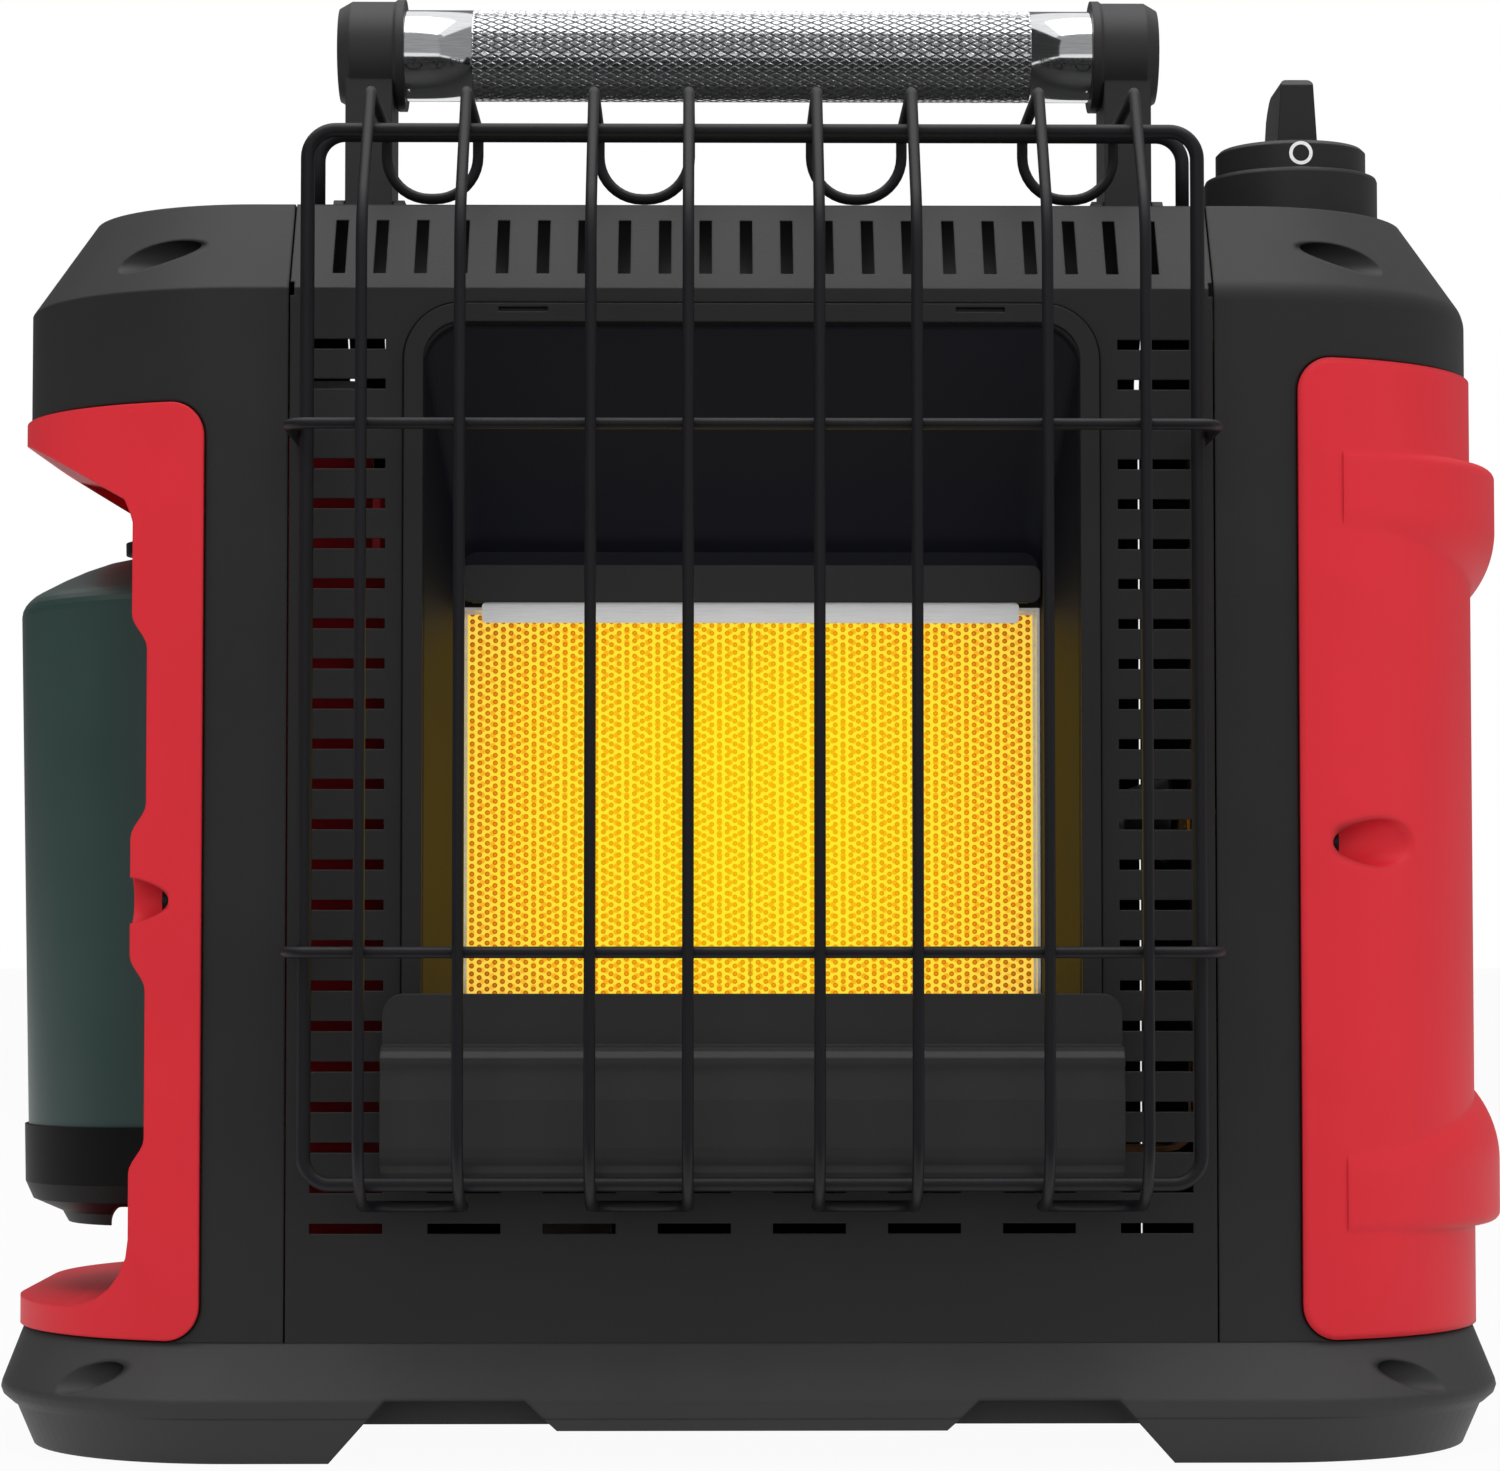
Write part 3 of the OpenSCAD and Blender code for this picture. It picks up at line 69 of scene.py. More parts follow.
# ---------------------------------------------------------------- materials
class Shader:
    """A material with a Principled shader and short calls for its nodes."""

    def __init__(self, name):
        self.mat = bpy.data.materials.new(name)
        self.mat.use_nodes = True
        self.nodes = self.mat.node_tree.nodes
        self.links = self.mat.node_tree.links
        self.main = next(n for n in self.nodes if n.type == "BSDF_PRINCIPLED")
        self.coords = None

    def add(self, kind, inputs=None, **settings):
        node = self.nodes.new(kind)
        for key, value in settings.items():
            setattr(node, key, value)
        for key, value in (inputs or {}).items():
            if isinstance(value, bpy.types.NodeSocket):
                self.links.new(value, node.inputs[key])
            else:
                node.inputs[key].default_value = value
        return node

    def place(self, scale=(1, 1, 1)):
        """Object coordinates, stretched by scale."""
        if self.coords is None:
            self.coords = self.add("ShaderNodeTexCoord").outputs["Object"]
        if tuple(scale) == (1, 1, 1):
            return self.coords
        return self.add("ShaderNodeMapping", {"Vector": self.coords, "Scale": scale}).outputs[0]

    def noise(self, scale, detail=2.0, rough=0.5, stretch=(1, 1, 1)):
        return self.add("ShaderNodeTexNoise", {
            "Vector": self.place(stretch), "Scale": scale, "Detail": detail,
            "Roughness": rough}).outputs["Fac"]

    def ramp(self, fac, stops):
        node = self.add("ShaderNodeValToRGB", {"Fac": fac})
        band = node.color_ramp
        while len(band.elements) < len(stops):
            band.elements.new(0.5)
        for element, (at, color) in zip(band.elements, stops):
            element.position = at
            element.color = (*color, 1)
        return node.outputs["Color"]

    def range(self, fac, low, high, start=0.0, end=1.0):
        return self.add("ShaderNodeMapRange", {
            "Value": fac, "From Min": start, "From Max": end,
            "To Min": low, "To Max": high}).outputs["Result"]

    def math(self, operation, a, b=0.0):
        return self.add("ShaderNodeMath", {0: a, 1: b}, operation=operation).outputs[0]

    def mix(self, fac, a, b):
        node = self.add("ShaderNodeMix", data_type="RGBA")
        for key, value in (("Factor", fac), ("A", a), ("B", b)):
            for socket in node.inputs:
                if socket.name == key and socket.enabled:
                    if isinstance(value, bpy.types.NodeSocket):
                        self.links.new(value, socket)
                    else:
                        socket.default_value = value if key == "Factor" else (*value, 1)
        return next(o for o in node.outputs if o.enabled)

    def bump(self, height, strength, distance, edge=0.0):
        """Relief of a texture, on edges softened to a radius in metres."""
        inputs = {"Height": height, "Strength": strength, "Distance": distance}
        if edge:
            soft = self.add("ShaderNodeBevel", {"Radius": edge}, samples=4)
            inputs["Normal"] = soft.outputs["Normal"]
        normal = self.add("ShaderNodeBump", inputs)
        self.links.new(normal.outputs["Normal"], self.main.inputs["Normal"])

    def set(self, **values):
        for key, value in values.items():
            socket = self.main.inputs[key.replace("_", " ")]
            if isinstance(value, bpy.types.NodeSocket):
                self.links.new(value, socket)
            elif isinstance(value, tuple) and len(value) == 3:
                socket.default_value = (*value, 1)
            else:
                socket.default_value = value
        return self


def srgb(r, g, b):
    """A screen colour, 0 to 255, as a linear one."""
    return tuple((c / 255 / 12.92) if c / 255 <= 0.04045 else ((c / 255 + 0.055) / 1.055) ** 2.4
                 for c in (r, g, b))


def tone(color, gain):
    return tuple(min(1.0, c * gain) for c in color)


def moulded(name, color, rough, grain=2600, depth=0.00006, mottle=0.08, sheen=0.3, edge=0.0):
    """Moulded plastic with a fine spark texture and a faint mottle."""
    s = Shader(name)
    cloud = s.noise(22, 3)
    color_out = s.ramp(cloud, [(0.3, tone(color, 1 - mottle)), (0.7, tone(color, 1 + mottle))])
    fine = s.noise(grain, 2, 0.6)
    s.set(Base_Color=color_out, Roughness=s.range(fine, rough - 0.05, rough + 0.07),
          Specular_IOR_Level=sheen)
    s.bump(fine, 0.5, depth, edge)
    return s.mat


def painted(name, color, rough, peel=900, depth=0.00008, sheen=0.3, edge=0.0):
    """Powder-coated sheet steel with a slight orange peel."""
    s = Shader(name)
    cloud = s.noise(14, 4, 0.55)
    color_out = s.ramp(cloud, [(0.3, tone(color, 0.92)), (0.7, tone(color, 1.1))])
    peel_out = s.noise(peel, 2, 0.5)
    s.set(Base_Color=color_out, Roughness=s.range(cloud, rough - 0.05, rough + 0.06),
          Specular_IOR_Level=sheen)
    s.bump(peel_out, 0.4, depth, edge)
    return s.mat


def plated(name, color, rough, stretch=(1, 1, 1), scale=500, depth=0.00002, metal=1.0):
    """Bare or plated metal with drawn scratches."""
    s = Shader(name)
    lines = s.noise(scale, 4, 0.6, stretch)
    color_out = s.ramp(lines, [(0.3, tone(color, 0.86)), (0.7, tone(color, 1.08))])
    s.set(Base_Color=color_out, Metallic=metal,
          Roughness=s.range(lines, rough * 0.7, rough * 1.35))
    s.bump(lines, 0.35, depth)
    return s.mat


black_plastic = moulded("moulded_black", srgb(37, 37, 37), 0.52, edge=0.001)
base_plastic = moulded("base_black", srgb(52, 52, 52), 0.55, edge=0.0016)
knob_plastic = moulded("knob_black", srgb(33, 33, 34), 0.42, 3000, 0.00003, edge=0.0006)
handle_plastic = moulded("handle_black", srgb(42, 42, 43), 0.5, edge=0.0008)
red_plastic = moulded("moulded_red", srgb(219, 41, 53), 0.5, 2800, 0.00003, 0.03, edge=0.003)
liner_plastic = moulded("liner_red", srgb(217, 40, 52), 0.5, 2800, 0.00003, 0.03, edge=0.001)
cup_plastic = moulded("cup_black", srgb(10, 10, 10), 0.5, sheen=0.15)
panel_paint = painted("panel_black", srgb(33, 33, 33), 0.5, edge=0.0006)
pan_paint = painted("pan_black", srgb(17, 18, 27), 0.6)
shield_paint = painted("shield_black", srgb(41, 41, 41), 0.48, edge=0.0007)
wire_paint = painted("wire_black", srgb(23, 23, 26), 0.46, 1500, sheen=0.25)
# near-black screws: the dark colour is painted shade for screws sunk in deep pockets
screw_shade_black = painted("screw_shade_black", srgb(20, 20, 20), 0.45, 1200)
chrome = plated("bright_chrome", (0.78, 0.79, 0.81), 0.09, (3, 60, 60), 60, 0.000004)
zinc = plated("zinc_plate", (0.55, 0.56, 0.58), 0.34)
brass = plated("machined_brass", (0.66, 0.49, 0.20), 0.28)
copper = plated("drawn_copper", (0.72, 0.36, 0.20), 0.3)
strip_metal = plated("bright_strip", (0.97, 0.96, 0.96), 0.4, (6, 1, 420), 20, 0.00003, 0.4)
frame_metal = plated("frame_chrome", (0.95, 0.95, 0.95), 0.3)
rubber = moulded("pad_rubber", srgb(22, 22, 22), 0.8, 1400, 0.0001)
white_ceramic = moulded("white_ceramic", srgb(228, 224, 214), 0.25, 900, 0.00002)
switch_plastic = moulded("switch_ivory", srgb(206, 202, 190), 0.45)


def tank_material():
    s = Shader("tank_green")
    cloud = s.noise(30, 3)
    color = srgb(41, 63, 59)
    s.set(Base_Color=s.ramp(cloud, [(0.3, tone(color, 0.94)), (0.7, tone(color, 1.07))]),
          Roughness=s.range(cloud, 0.38, 0.46), Specular_IOR_Level=0.35,
          Coat_Weight=0.12, Coat_Roughness=0.25)
    s.bump(s.noise(700, 2), 0.3, 0.00006)
    return s.mat


def lattice(s, x, z, pitch_x, pitch_z):
    """Distance in millimetres to the nearest point of a staggered lattice."""
    best = None
    for shift in (0.0, 0.5):
        u = s.math("SUBTRACT", s.math("DIVIDE", x, 2 * pitch_x), shift)
        v = s.math("SUBTRACT", s.math("DIVIDE", z, pitch_z), shift)
        du = s.math("MULTIPLY", s.math("SUBTRACT", u, s.math("ROUND", u)), 2 * pitch_x)
        dv = s.math("MULTIPLY", s.math("SUBTRACT", v, s.math("ROUND", v)), pitch_z)
        d = s.math("SQRT", s.math("ADD", s.math("MULTIPLY", du, du), s.math("MULTIPLY", dv, dv)))
        best = d if best is None else s.math("MINIMUM", best, d)
    return best


HOLE_PITCH = (2.05, 2.03)
DIMPLE_PITCH = (2.733, 2.9)


def glow_material():
    """Glowing plaque: a bright web between orange holes, hottest in the middle."""
    s = Shader("glowing_ceramic")
    split = s.add("ShaderNodeSeparateXYZ", {"Vector": s.place()})
    x = s.math("MULTIPLY", split.outputs["X"], 1000)
    z = s.math("MULTIPLY", split.outputs["Z"], 1000)
    hole = lattice(s, x, z, *HOLE_PITCH)
    dimple = lattice(s, x, z, *DIMPLE_PITCH)
    dx = s.math("DIVIDE", s.math("ABSOLUTE", x), 75)
    dz = s.math("DIVIDE", s.math("ABSOLUTE", s.math("SUBTRACT", z, 170)), 62)
    side, end = s.math("POWER", dx, 2.2), s.math("POWER", dz, 3.0)
    edge = s.math("MULTIPLY", s.math("ADD", side, end), 0.6)
    web = s.ramp(edge, [(0.0, srgb(255, 234, 40)), (0.45, srgb(255, 224, 58)),
                        (1.0, srgb(250, 204, 88))])
    deep = s.ramp(edge, [(0.0, srgb(252, 186, 12)), (0.4, srgb(244, 146, 16)),
                         (1.0, srgb(168, 84, 14))])
    rim = s.ramp(edge, [(0.0, srgb(224, 184, 6)), (0.4, srgb(196, 116, 8)),
                        (1.0, srgb(62, 32, 6))])
    faint = s.ramp(edge, [(0.0, srgb(252, 188, 14)), (0.45, srgb(250, 176, 32)),
                          (1.0, srgb(246, 186, 66))])
    in_hole = s.range(hole, 1, 0, 0.6, 0.72)
    in_dimple = s.range(dimple, 1, 0, 0.6, 0.9)
    ring = s.math("MULTIPLY", s.range(hole, 0, 1, 0.28, 0.48), 0.9)
    color = s.mix(in_hole, s.mix(in_dimple, web, faint), s.mix(ring, deep, rim))
    s.set(Base_Color=(0.01, 0.006, 0.002), Roughness=0.9, Specular_IOR_Level=0.05,
          Emission_Color=color, Emission_Strength=1.0)
    return s.mat


tank_green = tank_material()
glow = glow_material()

LOOKS = {
    black_plastic: ["left_housing", "right_housing"],
    base_plastic: ["base_tray"],
    knob_plastic: ["knob", "knob_bezel"],
    handle_plastic: ["handle_ends", "handle_brackets"],
    red_plastic: ["side_cover"],
    liner_plastic: ["bay_liner"],
    cup_plastic: ["tank_cup", "regulator_nut"],
    panel_paint: ["front_panel", "top_plate", "rear_panel", "recess_frame"],
    pan_paint: ["burner_pan"],
    shield_paint: ["lower_shield", "upper_deflector"],
    wire_paint: ["guard_ring", "guard_uprights", "guard_cross_wires", "guard_stay"],
    chrome: ["handle_tube", "handle_pins"],
    zinc: ["plenum_box", "valve_plunger", "stem_spring", "valve_bracket", "swing_bracket",
           "venturi_tube", "pilot_bracket", "pilot_burner", "regulator"],
    screw_shade_black: ["casing_screws", "panel_screws"],
    frame_metal: ["tile_frame"],
    strip_metal: ["reflector_strip"],
    brass: ["valve_stem", "gas_valve", "swing_pin", "tank_valve", "gas_jet"],
    copper: ["supply_pipe", "burner_pipe", "pilot_pipe", "thermocouple"],
    glow: ["ceramic_tiles"],
    white_ceramic: ["spark_rod"],
    tank_green: ["tank"],
    rubber: ["foot_pads"],
    switch_plastic: ["tip_switch"],
}
for material, names in LOOKS.items():
    for name in names:
        mesh = NODES[name].data
        mesh.materials.clear()
        mesh.materials.append(material)


# ---------------------------------------------------------------- mesh helpers
def new_piece(name, verts, faces, material, body, slot, smooth=True):
    """A mesh piece in the row's frame, from millimetres."""
    mesh = bpy.data.meshes.new(name)
    mesh.from_pydata([(x * MM, y * MM, z * MM) for x, y, z in verts], [], faces)
    mesh.validate()
    mesh.materials.append(material)
    if smooth:
        mesh.polygons.foreach_set("use_smooth", [True] * len(mesh.polygons))
    piece = bpy.data.objects.new(name, mesh)
    bpy.context.scene.collection.objects.link(piece)
    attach(piece, body)
    return piece


def corner_arc(a, b, c, r, n):
    """The arc that rounds corner b between a and c to radius r."""
    a, b, c = Vector(a), Vector(b), Vector(c)
    u, w = (a - b).normalized(), (c - b).normalized()
    half = math.acos(max(-1, min(1, u.dot(w)))) / 2
    centre = b + (u + w).normalized() * r / math.sin(half)
    x = (b + u * r / math.tan(half) - centre).normalized()
    z = x.cross(b + w * r / math.tan(half) - centre).normalized()
    y = z.cross(x)
    sweep = math.pi - 2 * half
    return [centre + r * (math.cos(sweep * k / n) * x + math.sin(sweep * k / n) * y)
            for k in range(n + 1)]


def round_loop(points, radii, n=10):
    m = len(points)
    return [q for i in range(m)
            for q in corner_arc(points[i - 1], points[i], points[(i + 1) % m], radii[i], n)]


def round_path(points, radii, n=10):
    middle = [q for i in range(1, len(points) - 1)
              for q in corner_arc(points[i - 1], points[i], points[i + 1], radii[i - 1], n)]
    return [Vector(points[0])] + middle + [Vector(points[-1])]


def tube(points, d, closed=False, sides=18):
    """Rings swept along points without twist, as vertices and faces."""
    m = len(points)
    tangents = []
    for i in range(m):
        if closed:
            t = points[(i + 1) % m] - points[i - 1]
        else:
            t = points[min(i + 1, m - 1)] - points[max(i - 1, 0)]
        tangents.append(t.normalized())
    normal = tangents[0].orthogonal().normalized()
    verts, faces = [], []
    for p, t in zip(points, tangents):
        normal = (normal - normal.dot(t) * t).normalized()
        side = t.cross(normal)
        for k in range(sides):
            a = 2 * math.pi * k / sides
            verts.append(p + d / 2 * (math.cos(a) * normal + math.sin(a) * side))
    last = (m - 1) * sides
    # the shift that lines the last ring up with the first
    shift = 0
    if closed:
        start = (verts[0] - points[0]).normalized()
        gaps = [((q - points[-1]).normalized() - start).length for q in verts[last:]]
        shift = gaps.index(min(gaps))
    for i in range(m if closed else m - 1):
        j = (i + 1) % m
        turn = shift if i == m - 1 else 0
        for k in range(sides):
            k2 = (k + 1) % sides
            faces.append((i * sides + (k + turn) % sides, i * sides + (k2 + turn) % sides,
                          j * sides + k2, j * sides + k))
    if not closed:
        faces.append(tuple(range(sides - 1, -1, -1)))
        faces.append(tuple(range(last, last + sides)))
    return verts, faces


def join(parts):
    verts, faces = [], []
    for v, f in parts:
        n = len(verts)
        verts += v
        faces += [tuple(i + n for i in face) for face in f]
    return verts, faces


# ---------------------------------------------------------------- guard
def build_guard():
    lean = math.atan((TIP_Y - WIRE_Y) / (RUN_Z - LEAN_Z))
    rise = (RING_Z - LEAN_Z) / (RUN_Z - LEAN_Z) * (TIP_Y - WIRE_Y)
    ring_y = WIRE_Y + rise + (WIRE_D + RING_D) / 2 / math.cos(lean)
    half = RING_W / 2
    ring = tube(round_loop([(-half, ring_y, RING_BOTTOM), (-half, ring_y, RING_Z),
                            (half, ring_y, RING_Z), (half, ring_y, RING_BOTTOM)],
                           [7] * 4, 12), RING_D, True)
    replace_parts(new_piece("guard_ring_wire", *ring, wire_paint, "casing", "guard_black"),
                "guard_ring")

    low = RING_BOTTOM - (RING_D + WIRE_D) / 2 - 1.5
    back, loop, run_back = ring_y + 12, RUN_Z - 18, FRONT_Y + 34
    pins = []
    for a, b in HAIRPIN_X:
        pins.append(tube(round_loop(
            [(a, WIRE_Y, low + 1), (a, WIRE_Y, LEAN_Z), (a, TIP_Y, RUN_Z), (a, run_back, RUN_Z),
             (a, run_back, loop), (b, run_back, loop), (b, run_back, RUN_Z), (b, TIP_Y, RUN_Z),
             (b, WIRE_Y, LEAN_Z), (b, WIRE_Y, low + 1), (b, back, low - 1.5),
             (a, back, low - 1.5)],
            [18, 30, 3.4, 3.6, 11.4, 11.4, 3.6, 3.4, 30, 18, 9, 9]), WIRE_D, True))
    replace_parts(new_piece("guard_hairpins", *join(pins), wire_paint, "casing", "guard_black"),
                "guard_uprights")

    reach = half + (RING_D + WIRE_D) / 2
    y = WIRE_Y + WIRE_D
    wires = [tube(round_path([(-reach, FRONT_Y, z), (-reach, y, z), (reach, y, z),
                              (reach, FRONT_Y, z)], [6, 6]), WIRE_D) for z in CROSS_Z]
    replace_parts(new_piece("guard_cross_bars", *join(wires), wire_paint, "casing", "guard_black"),
                "guard_cross_wires")

    stay_y = FRONT_Y + 17 + 5
    stay_z = RUN_Z - (WIRE_D + RING_D) / 2
    wide = half + 1.6
    hoop = tube(round_path([(-wide, stay_y, CASING_TOP), (-wide, stay_y, stay_z),
                            (wide, stay_y, stay_z), (wide, stay_y, CASING_TOP)], [7, 7]), RING_D)
    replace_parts(new_piece("guard_hoop", *hoop, wire_paint, "casing", "guard_black"),
                "guard_stay")


# ---------------------------------------------------------------- burner face
def nearest(x, z, pitch_x, pitch_z):
    """Distance to the nearest point of a staggered lattice, for whole arrays."""
    best = None
    for shift in (0.0, 0.5):
        u, v = x / (2 * pitch_x) - shift, z / pitch_z - shift
        d = np.hypot((u - np.round(u)) * 2 * pitch_x, (v - np.round(v)) * pitch_z)
        best = d if best is None else np.minimum(best, d)
    return best


def build_tiles():
    """Two plaques whose faces carry their holes and dimples as relief."""
    step, joint = 0.36, 0.4
    parts = []
    for x0, x1 in ((-TILE_W / 2, -joint / 2), (joint / 2, TILE_W / 2)):
        nx = int(round((x1 - x0) / step))
        nz = int(round((TILE_TOP - TILE_BOTTOM) / step))
        xs = np.linspace(x0, x1, nx + 1)
        zs = np.linspace(TILE_BOTTOM, TILE_TOP, nz + 1)
        gx, gz = np.meshgrid(xs, zs)
        hole = np.clip((0.78 - nearest(gx, gz, *HOLE_PITCH)) / 0.22, 0, 1) * 1.1
        dimple = np.clip((0.9 - nearest(gx, gz, *DIMPLE_PITCH)) / 0.35, 0, 1) * 0.55
        gy = TILE_Y + np.maximum(hole, dimple)
        gy[0, :] = gy[-1, :] = TILE_Y
        gy[:, 0] = gy[:, -1] = TILE_Y
        verts = np.stack([gx, gy, gz], -1).reshape(-1, 3).tolist()
        row = nx + 1
        faces = [(j * row + i, j * row + i + 1, (j + 1) * row + i + 1, (j + 1) * row + i)
                 for j in range(nz) for i in range(nx)]
        # the sides and the back of the plaque
        rim = ([i for i in range(row)] + [j * row + nx for j in range(1, nz + 1)]
               + [nz * row + i for i in range(nx - 1, -1, -1)]
               + [j * row for j in range(nz - 1, 0, -1)])
        n = len(verts)
        verts += [[verts[i][0], TILE_Y + TILE_T, verts[i][2]] for i in rim]
        m = len(rim)
        faces += [(rim[(k + 1) % m], rim[k], n + k, n + (k + 1) % m) for k in range(m)]
        faces.append(tuple(n + k for k in range(m - 1, -1, -1)))
        parts.append((verts, faces))
    piece = new_piece("burner_plaques", *join(parts), glow, "casing", "ceramic", smooth=False)
    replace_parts(piece, "ceramic_tiles")


# ---------------------------------------------------------------- handle
# the knurl's chrome is painted darker than the plain tube's chrome, as shade among its grooves
shaded_knurl_chrome = plated("shaded_knurled_chrome", (0.6, 0.61, 0.62), 0.1, scale=300)
groove_shade_metal = plated("groove_shade_metal", (0.3, 0.3, 0.31), 0.5, scale=300)


def build_grip():
    """Chrome tube with a diamond-knurled middle."""
    knurl, middle = 156.0, 0.9
    starts, pitch, relief, groove = 40, 3.87, 0.3, 0.36
    around, along = 440, 500
    r = TUBE_D / 2
    a = np.linspace(0, 2 * math.pi, around, endpoint=False)
    x = np.linspace(middle - knurl / 2, middle + knurl / 2, along + 1)
    ga, gx = np.meshgrid(a, x)
    turn = gx / pitch * 2 * math.pi
    near = np.minimum(np.abs(((starts * ga + turn) / math.pi) % 2 - 1),
                      np.abs(((starts * ga - turn) / math.pi) % 2 - 1))
    fade = np.clip((knurl / 2 - np.abs(gx - middle)) / 0.6, 0, 1)
    gr = r - relief * fade * np.clip((groove - near) / groove, 0, 1)
    verts = np.stack([gx, gr * np.cos(ga), TUBE_Z + gr * np.sin(ga)], -1).reshape(-1, 3).tolist()
    faces = [(j * around + i, (j + 1) * around + i, (j + 1) * around + (i + 1) % around,
              j * around + (i + 1) % around) for j in range(along) for i in range(around)]
    grip = new_piece("handle_knurl", verts, faces, shaded_knurl_chrome, "handle", "chrome", smooth=False)
    # painted shade: the grooves' bottoms get a darker, duller metal than the diamonds
    grip.data.materials.append(groove_shade_metal)
    deep = ((near < 0.6 * groove) & (fade > 0.5)).reshape(along + 1, around)[:-1]
    grip.data.polygons.foreach_set("material_index", deep.astype(np.int32).ravel())
    ends = []
    for s in (-1, 1):
        path = [Vector((q, 0, TUBE_Z)) for q in
                (middle + s * knurl / 2, s * TUBE_L / 2, s * (TUBE_L / 2 + 6))]
        ends.append(tube(path, TUBE_D, sides=96))
    plain = new_piece("handle_tube_ends", *join(ends), chrome, "handle", "chrome")
    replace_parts(grip, "handle_tube")
    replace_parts(plain, "handle_tube")


# ---------------------------------------------------------------- vent gauze
def build_vent_shade():
    """A dark sheet inside the rear panel, put there as painted shade: it stops light through its
    side vents.
    """
    verts, faces = [], []
    for s in (-1, 1):
        n = len(verts)
        x0, x1 = sorted(s * x for x in VENT_SHADE_X)
        z0, z1 = VENT_SHADE_Z
        for y in VENT_SHADE_Y:
            verts += [(x0, y, z0), (x1, y, z0), (x1, y, z1), (x0, y, z1)]
        faces += [tuple(n + k for k in face) for face in
                  ((0, 1, 2, 3), (7, 6, 5, 4), (0, 4, 5, 1), (1, 5, 6, 2), (2, 6, 7, 3),
                   (3, 7, 4, 0))]
    # near-black sheet standing in for the shade inside the casing
    vent_shade = painted("vent_shade_black", srgb(14, 14, 14), 0.8, 4000)
    new_piece("vent_shade_sheet", verts, faces, vent_shade, "casing", "steel_black", smooth=False)


# ---------------------------------------------------------------- knob mark
def build_knob_mark():
    """A printed ring on the front of the knob's disc."""
    outer, stroke, lift = 3.15, 0.92, 0.06
    z0 = BEZEL_TOP + 4.0
    r = KNOB_D / 2 + lift
    verts, faces, n = [], [], 64
    for radius in (outer, outer - stroke):
        for k in range(n):
            t = 2 * math.pi * k / n
            across = radius * math.cos(t) / r
            verts.append((KNOB[0] + r * math.sin(across), KNOB[1] - r * math.cos(across),
                          z0 + radius * math.sin(t)))
    for k in range(n):
        k2 = (k + 1) % n
        faces.append((k, k2, n + k2, n + k))
    s = Shader("white_print")
    s.set(Base_Color=s.ramp(s.noise(900), [(0.3, (0.8, 0.8, 0.8)), (0.7, (0.9, 0.9, 0.9))]),
          Roughness=0.5)
    new_piece("knob_mark", verts, faces, s.mat, "knob", "black_plastic")


build_guard()
build_tiles()
build_grip()
build_vent_shade()
build_knob_mark()


# ---------------------------------------------------------------- stage and camera
def white_share(nodes, links, share):
    """A factor that is share for camera, glossy and transmission rays, else 0."""
    path = nodes.new("ShaderNodeLightPath")
    last = path.outputs["Is Camera Ray"]
    for name in ("Is Glossy Ray", "Is Transmission Ray"):
        top = nodes.new("ShaderNodeMath")
        top.operation = "MAXIMUM"
        links.new(last, top.inputs[0])
        links.new(path.outputs[name], top.inputs[1])
        last = top.outputs[0]
    scale = nodes.new("ShaderNodeMath")
    scale.operation = "MULTIPLY"
    links.new(last, scale.inputs[0])
    scale.inputs[1].default_value = share
    return scale.outputs[0]


def stage_plane(name, corners, material):
    mesh = bpy.data.meshes.new(name)
    mesh.from_pydata(corners, [], [(0, 1, 2, 3)])
    mesh.materials.append(material)
    plane = bpy.data.objects.new(name, mesh)
    bpy.context.scene.collection.objects.link(plane)
    return plane


def upright(a, b, low, high):
    """The corners of an upright card over the line from a to b."""
    return (*a, low), (*b, low), (*b, high), (*a, high)


STUDIO_CARDS = (
    ("front", 0.36, upright((-3.4, -2.6), (3.4, -2.6), 0.2, 3.8)),
    ("left", 0.04, upright((-2.4, -2.6), (-2.4, 3.6), 0.0, 2.4)),
    ("right", 0.3, upright((2.4, -2.6), (2.4, 3.6), 0.0, 2.4)),
    ("back", 0.2, upright((-2.4, 3.6), (2.4, 3.6), 0.0, 3.4)),
    ("low", 0.04, ((-1.6, -1.7, 0.0), (1.6, -1.7, 0.0), (1.6, -0.24, 0.0), (-1.6, -0.24, 0.0))),
)


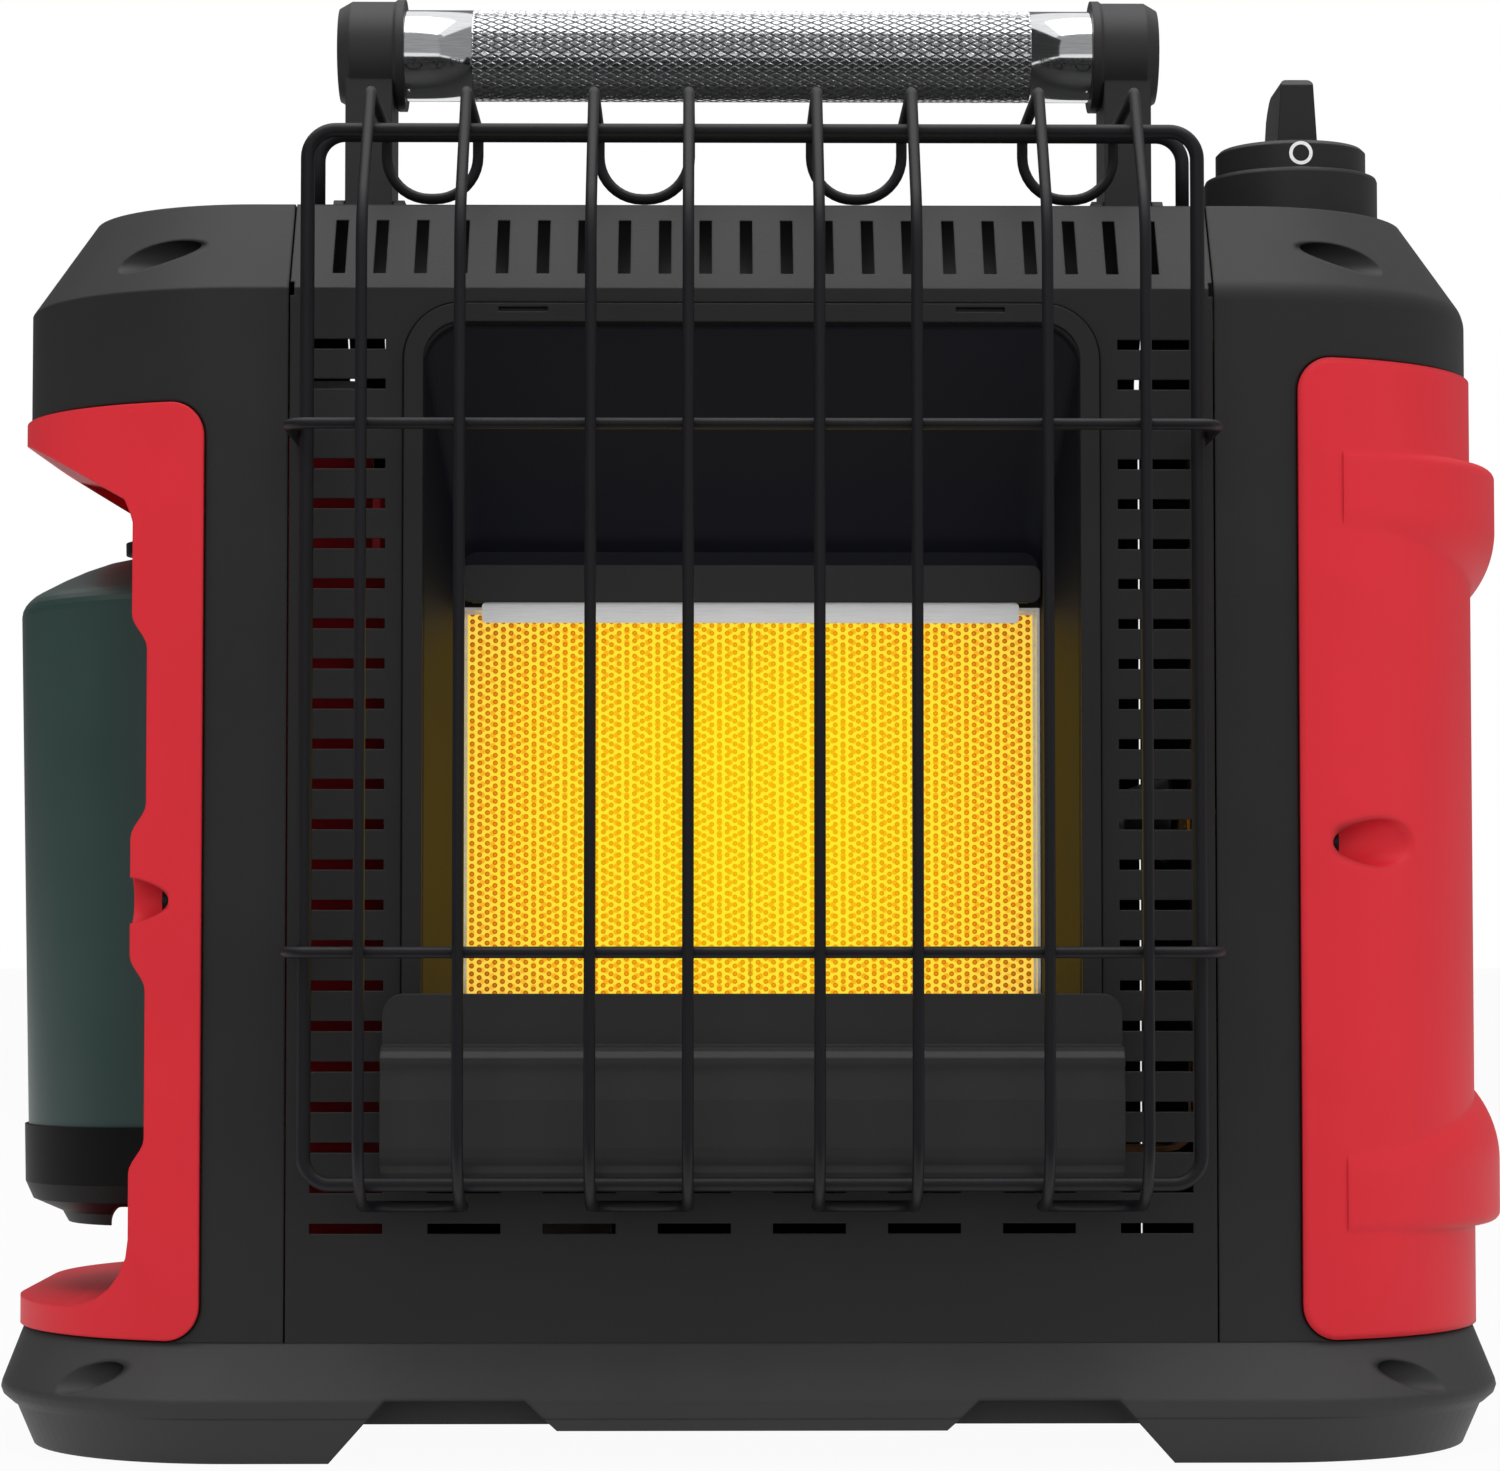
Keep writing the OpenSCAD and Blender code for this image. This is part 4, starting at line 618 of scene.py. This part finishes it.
def build_stage():
    s = Shader("studio_floor")
    cloud = s.noise(4)
    s.set(Base_Color=s.ramp(cloud, [(0.3, (0.5, 0.5, 0.5)), (0.7, (0.52, 0.52, 0.52))]),
          Roughness=0.9)
    white = s.add("ShaderNodeEmission", {"Color": (1, 1, 1, 1), "Strength": 1.0})
    share = white_share(s.nodes, s.links, 0.95)
    mixed = s.add("ShaderNodeMixShader", {0: share, 1: s.main.outputs[0],
                                          2: white.outputs[0]})
    out = next(n for n in s.nodes if n.type == "OUTPUT_MATERIAL")
    s.links.new(mixed.outputs[0], out.inputs["Surface"])
    reach, drop = 12.0, -0.0003
    stage_plane("studio_floor", [(-reach, -reach, drop), (reach, -reach, drop),
                                 (reach, reach, drop), (-reach, reach, drop)], s.mat)

    # cards round the stage, which only shiny surfaces see
    for name, level, corners in STUDIO_CARDS:
        card_shader = Shader("studio_card_" + name)
        light = card_shader.add("ShaderNodeEmission", {"Color": (1, 1, 1, 1), "Strength": level})
        end = next(n for n in card_shader.nodes if n.type == "OUTPUT_MATERIAL")
        card_shader.links.new(light.outputs[0], end.inputs["Surface"])
        card = stage_plane("studio_card_" + name, corners, card_shader.mat)
        card.visible_camera = card.visible_diffuse = card.visible_shadow = False
        card.visible_transmission = False

    world = bpy.data.worlds.new("studio")
    bpy.context.scene.world = world
    world.use_nodes = True
    nodes, links = world.node_tree.nodes, world.node_tree.links
    nodes.clear()
    shades = []
    for strength in (WORLD_LIGHT, 1.0):
        shade = nodes.new("ShaderNodeBackground")
        shade.inputs["Color"].default_value = (1, 1, 1, 1)
        shade.inputs["Strength"].default_value = strength
        shades.append(shade)
    mix = nodes.new("ShaderNodeMixShader")
    links.new(white_share(nodes, links, 1.0), mix.inputs[0])
    links.new(shades[0].outputs[0], mix.inputs[1])
    links.new(shades[1].outputs[0], mix.inputs[2])
    out = nodes.new("ShaderNodeOutputWorld")
    links.new(mix.outputs[0], out.inputs["Surface"])


def lamp(name, at, aim, size, power, seen=True):
    data = bpy.data.lights.new(name, "AREA")
    data.shape = "RECTANGLE"
    data.size, data.size_y = size
    data.energy = power
    obj = bpy.data.objects.new(name, data)
    obj.location = at
    obj.visible_glossy = seen
    obj.rotation_euler = (Vector(aim) - Vector(at)).to_track_quat("-Z", "Y").to_euler()
    bpy.context.scene.collection.objects.link(obj)


def build_camera():
    data = bpy.data.cameras.new("photo_view")
    data.sensor_width = 36.0
    data.lens = 97.97
    data.clip_start = 0.05
    camera = bpy.data.objects.new("photo_view", data)
    camera.location = (-0.012, -1.139, 0.1365)
    camera.rotation_euler = (math.radians(90 + 2.67), 0, math.radians(-0.63))
    bpy.context.scene.collection.objects.link(camera)
    bpy.context.scene.camera = camera


build_stage()
build_camera()
lamp("top_softbox", (0.0, -0.25, 1.5), (0, 0, 0.15), (1.6, 1.2), 14)
lamp("front_softbox", (0.0, -2.2, 0.8), (0, 0, 0.18), (1.8, 1.0), 14, False)
lamp("left_softbox", (-1.6, -0.6, 0.5), (0, 0, 0.18), (0.7, 1.2), 5, False)
lamp("right_softbox", (1.6, -0.6, 0.5), (0, 0, 0.18), (0.7, 1.2), 5, False)
lamp("back_softbox", (0.0, 1.6, 1.0), (0, 0, 0.18), (1.4, 0.9), 6, False)
bpy.context.scene.view_settings.view_transform = "Standard"
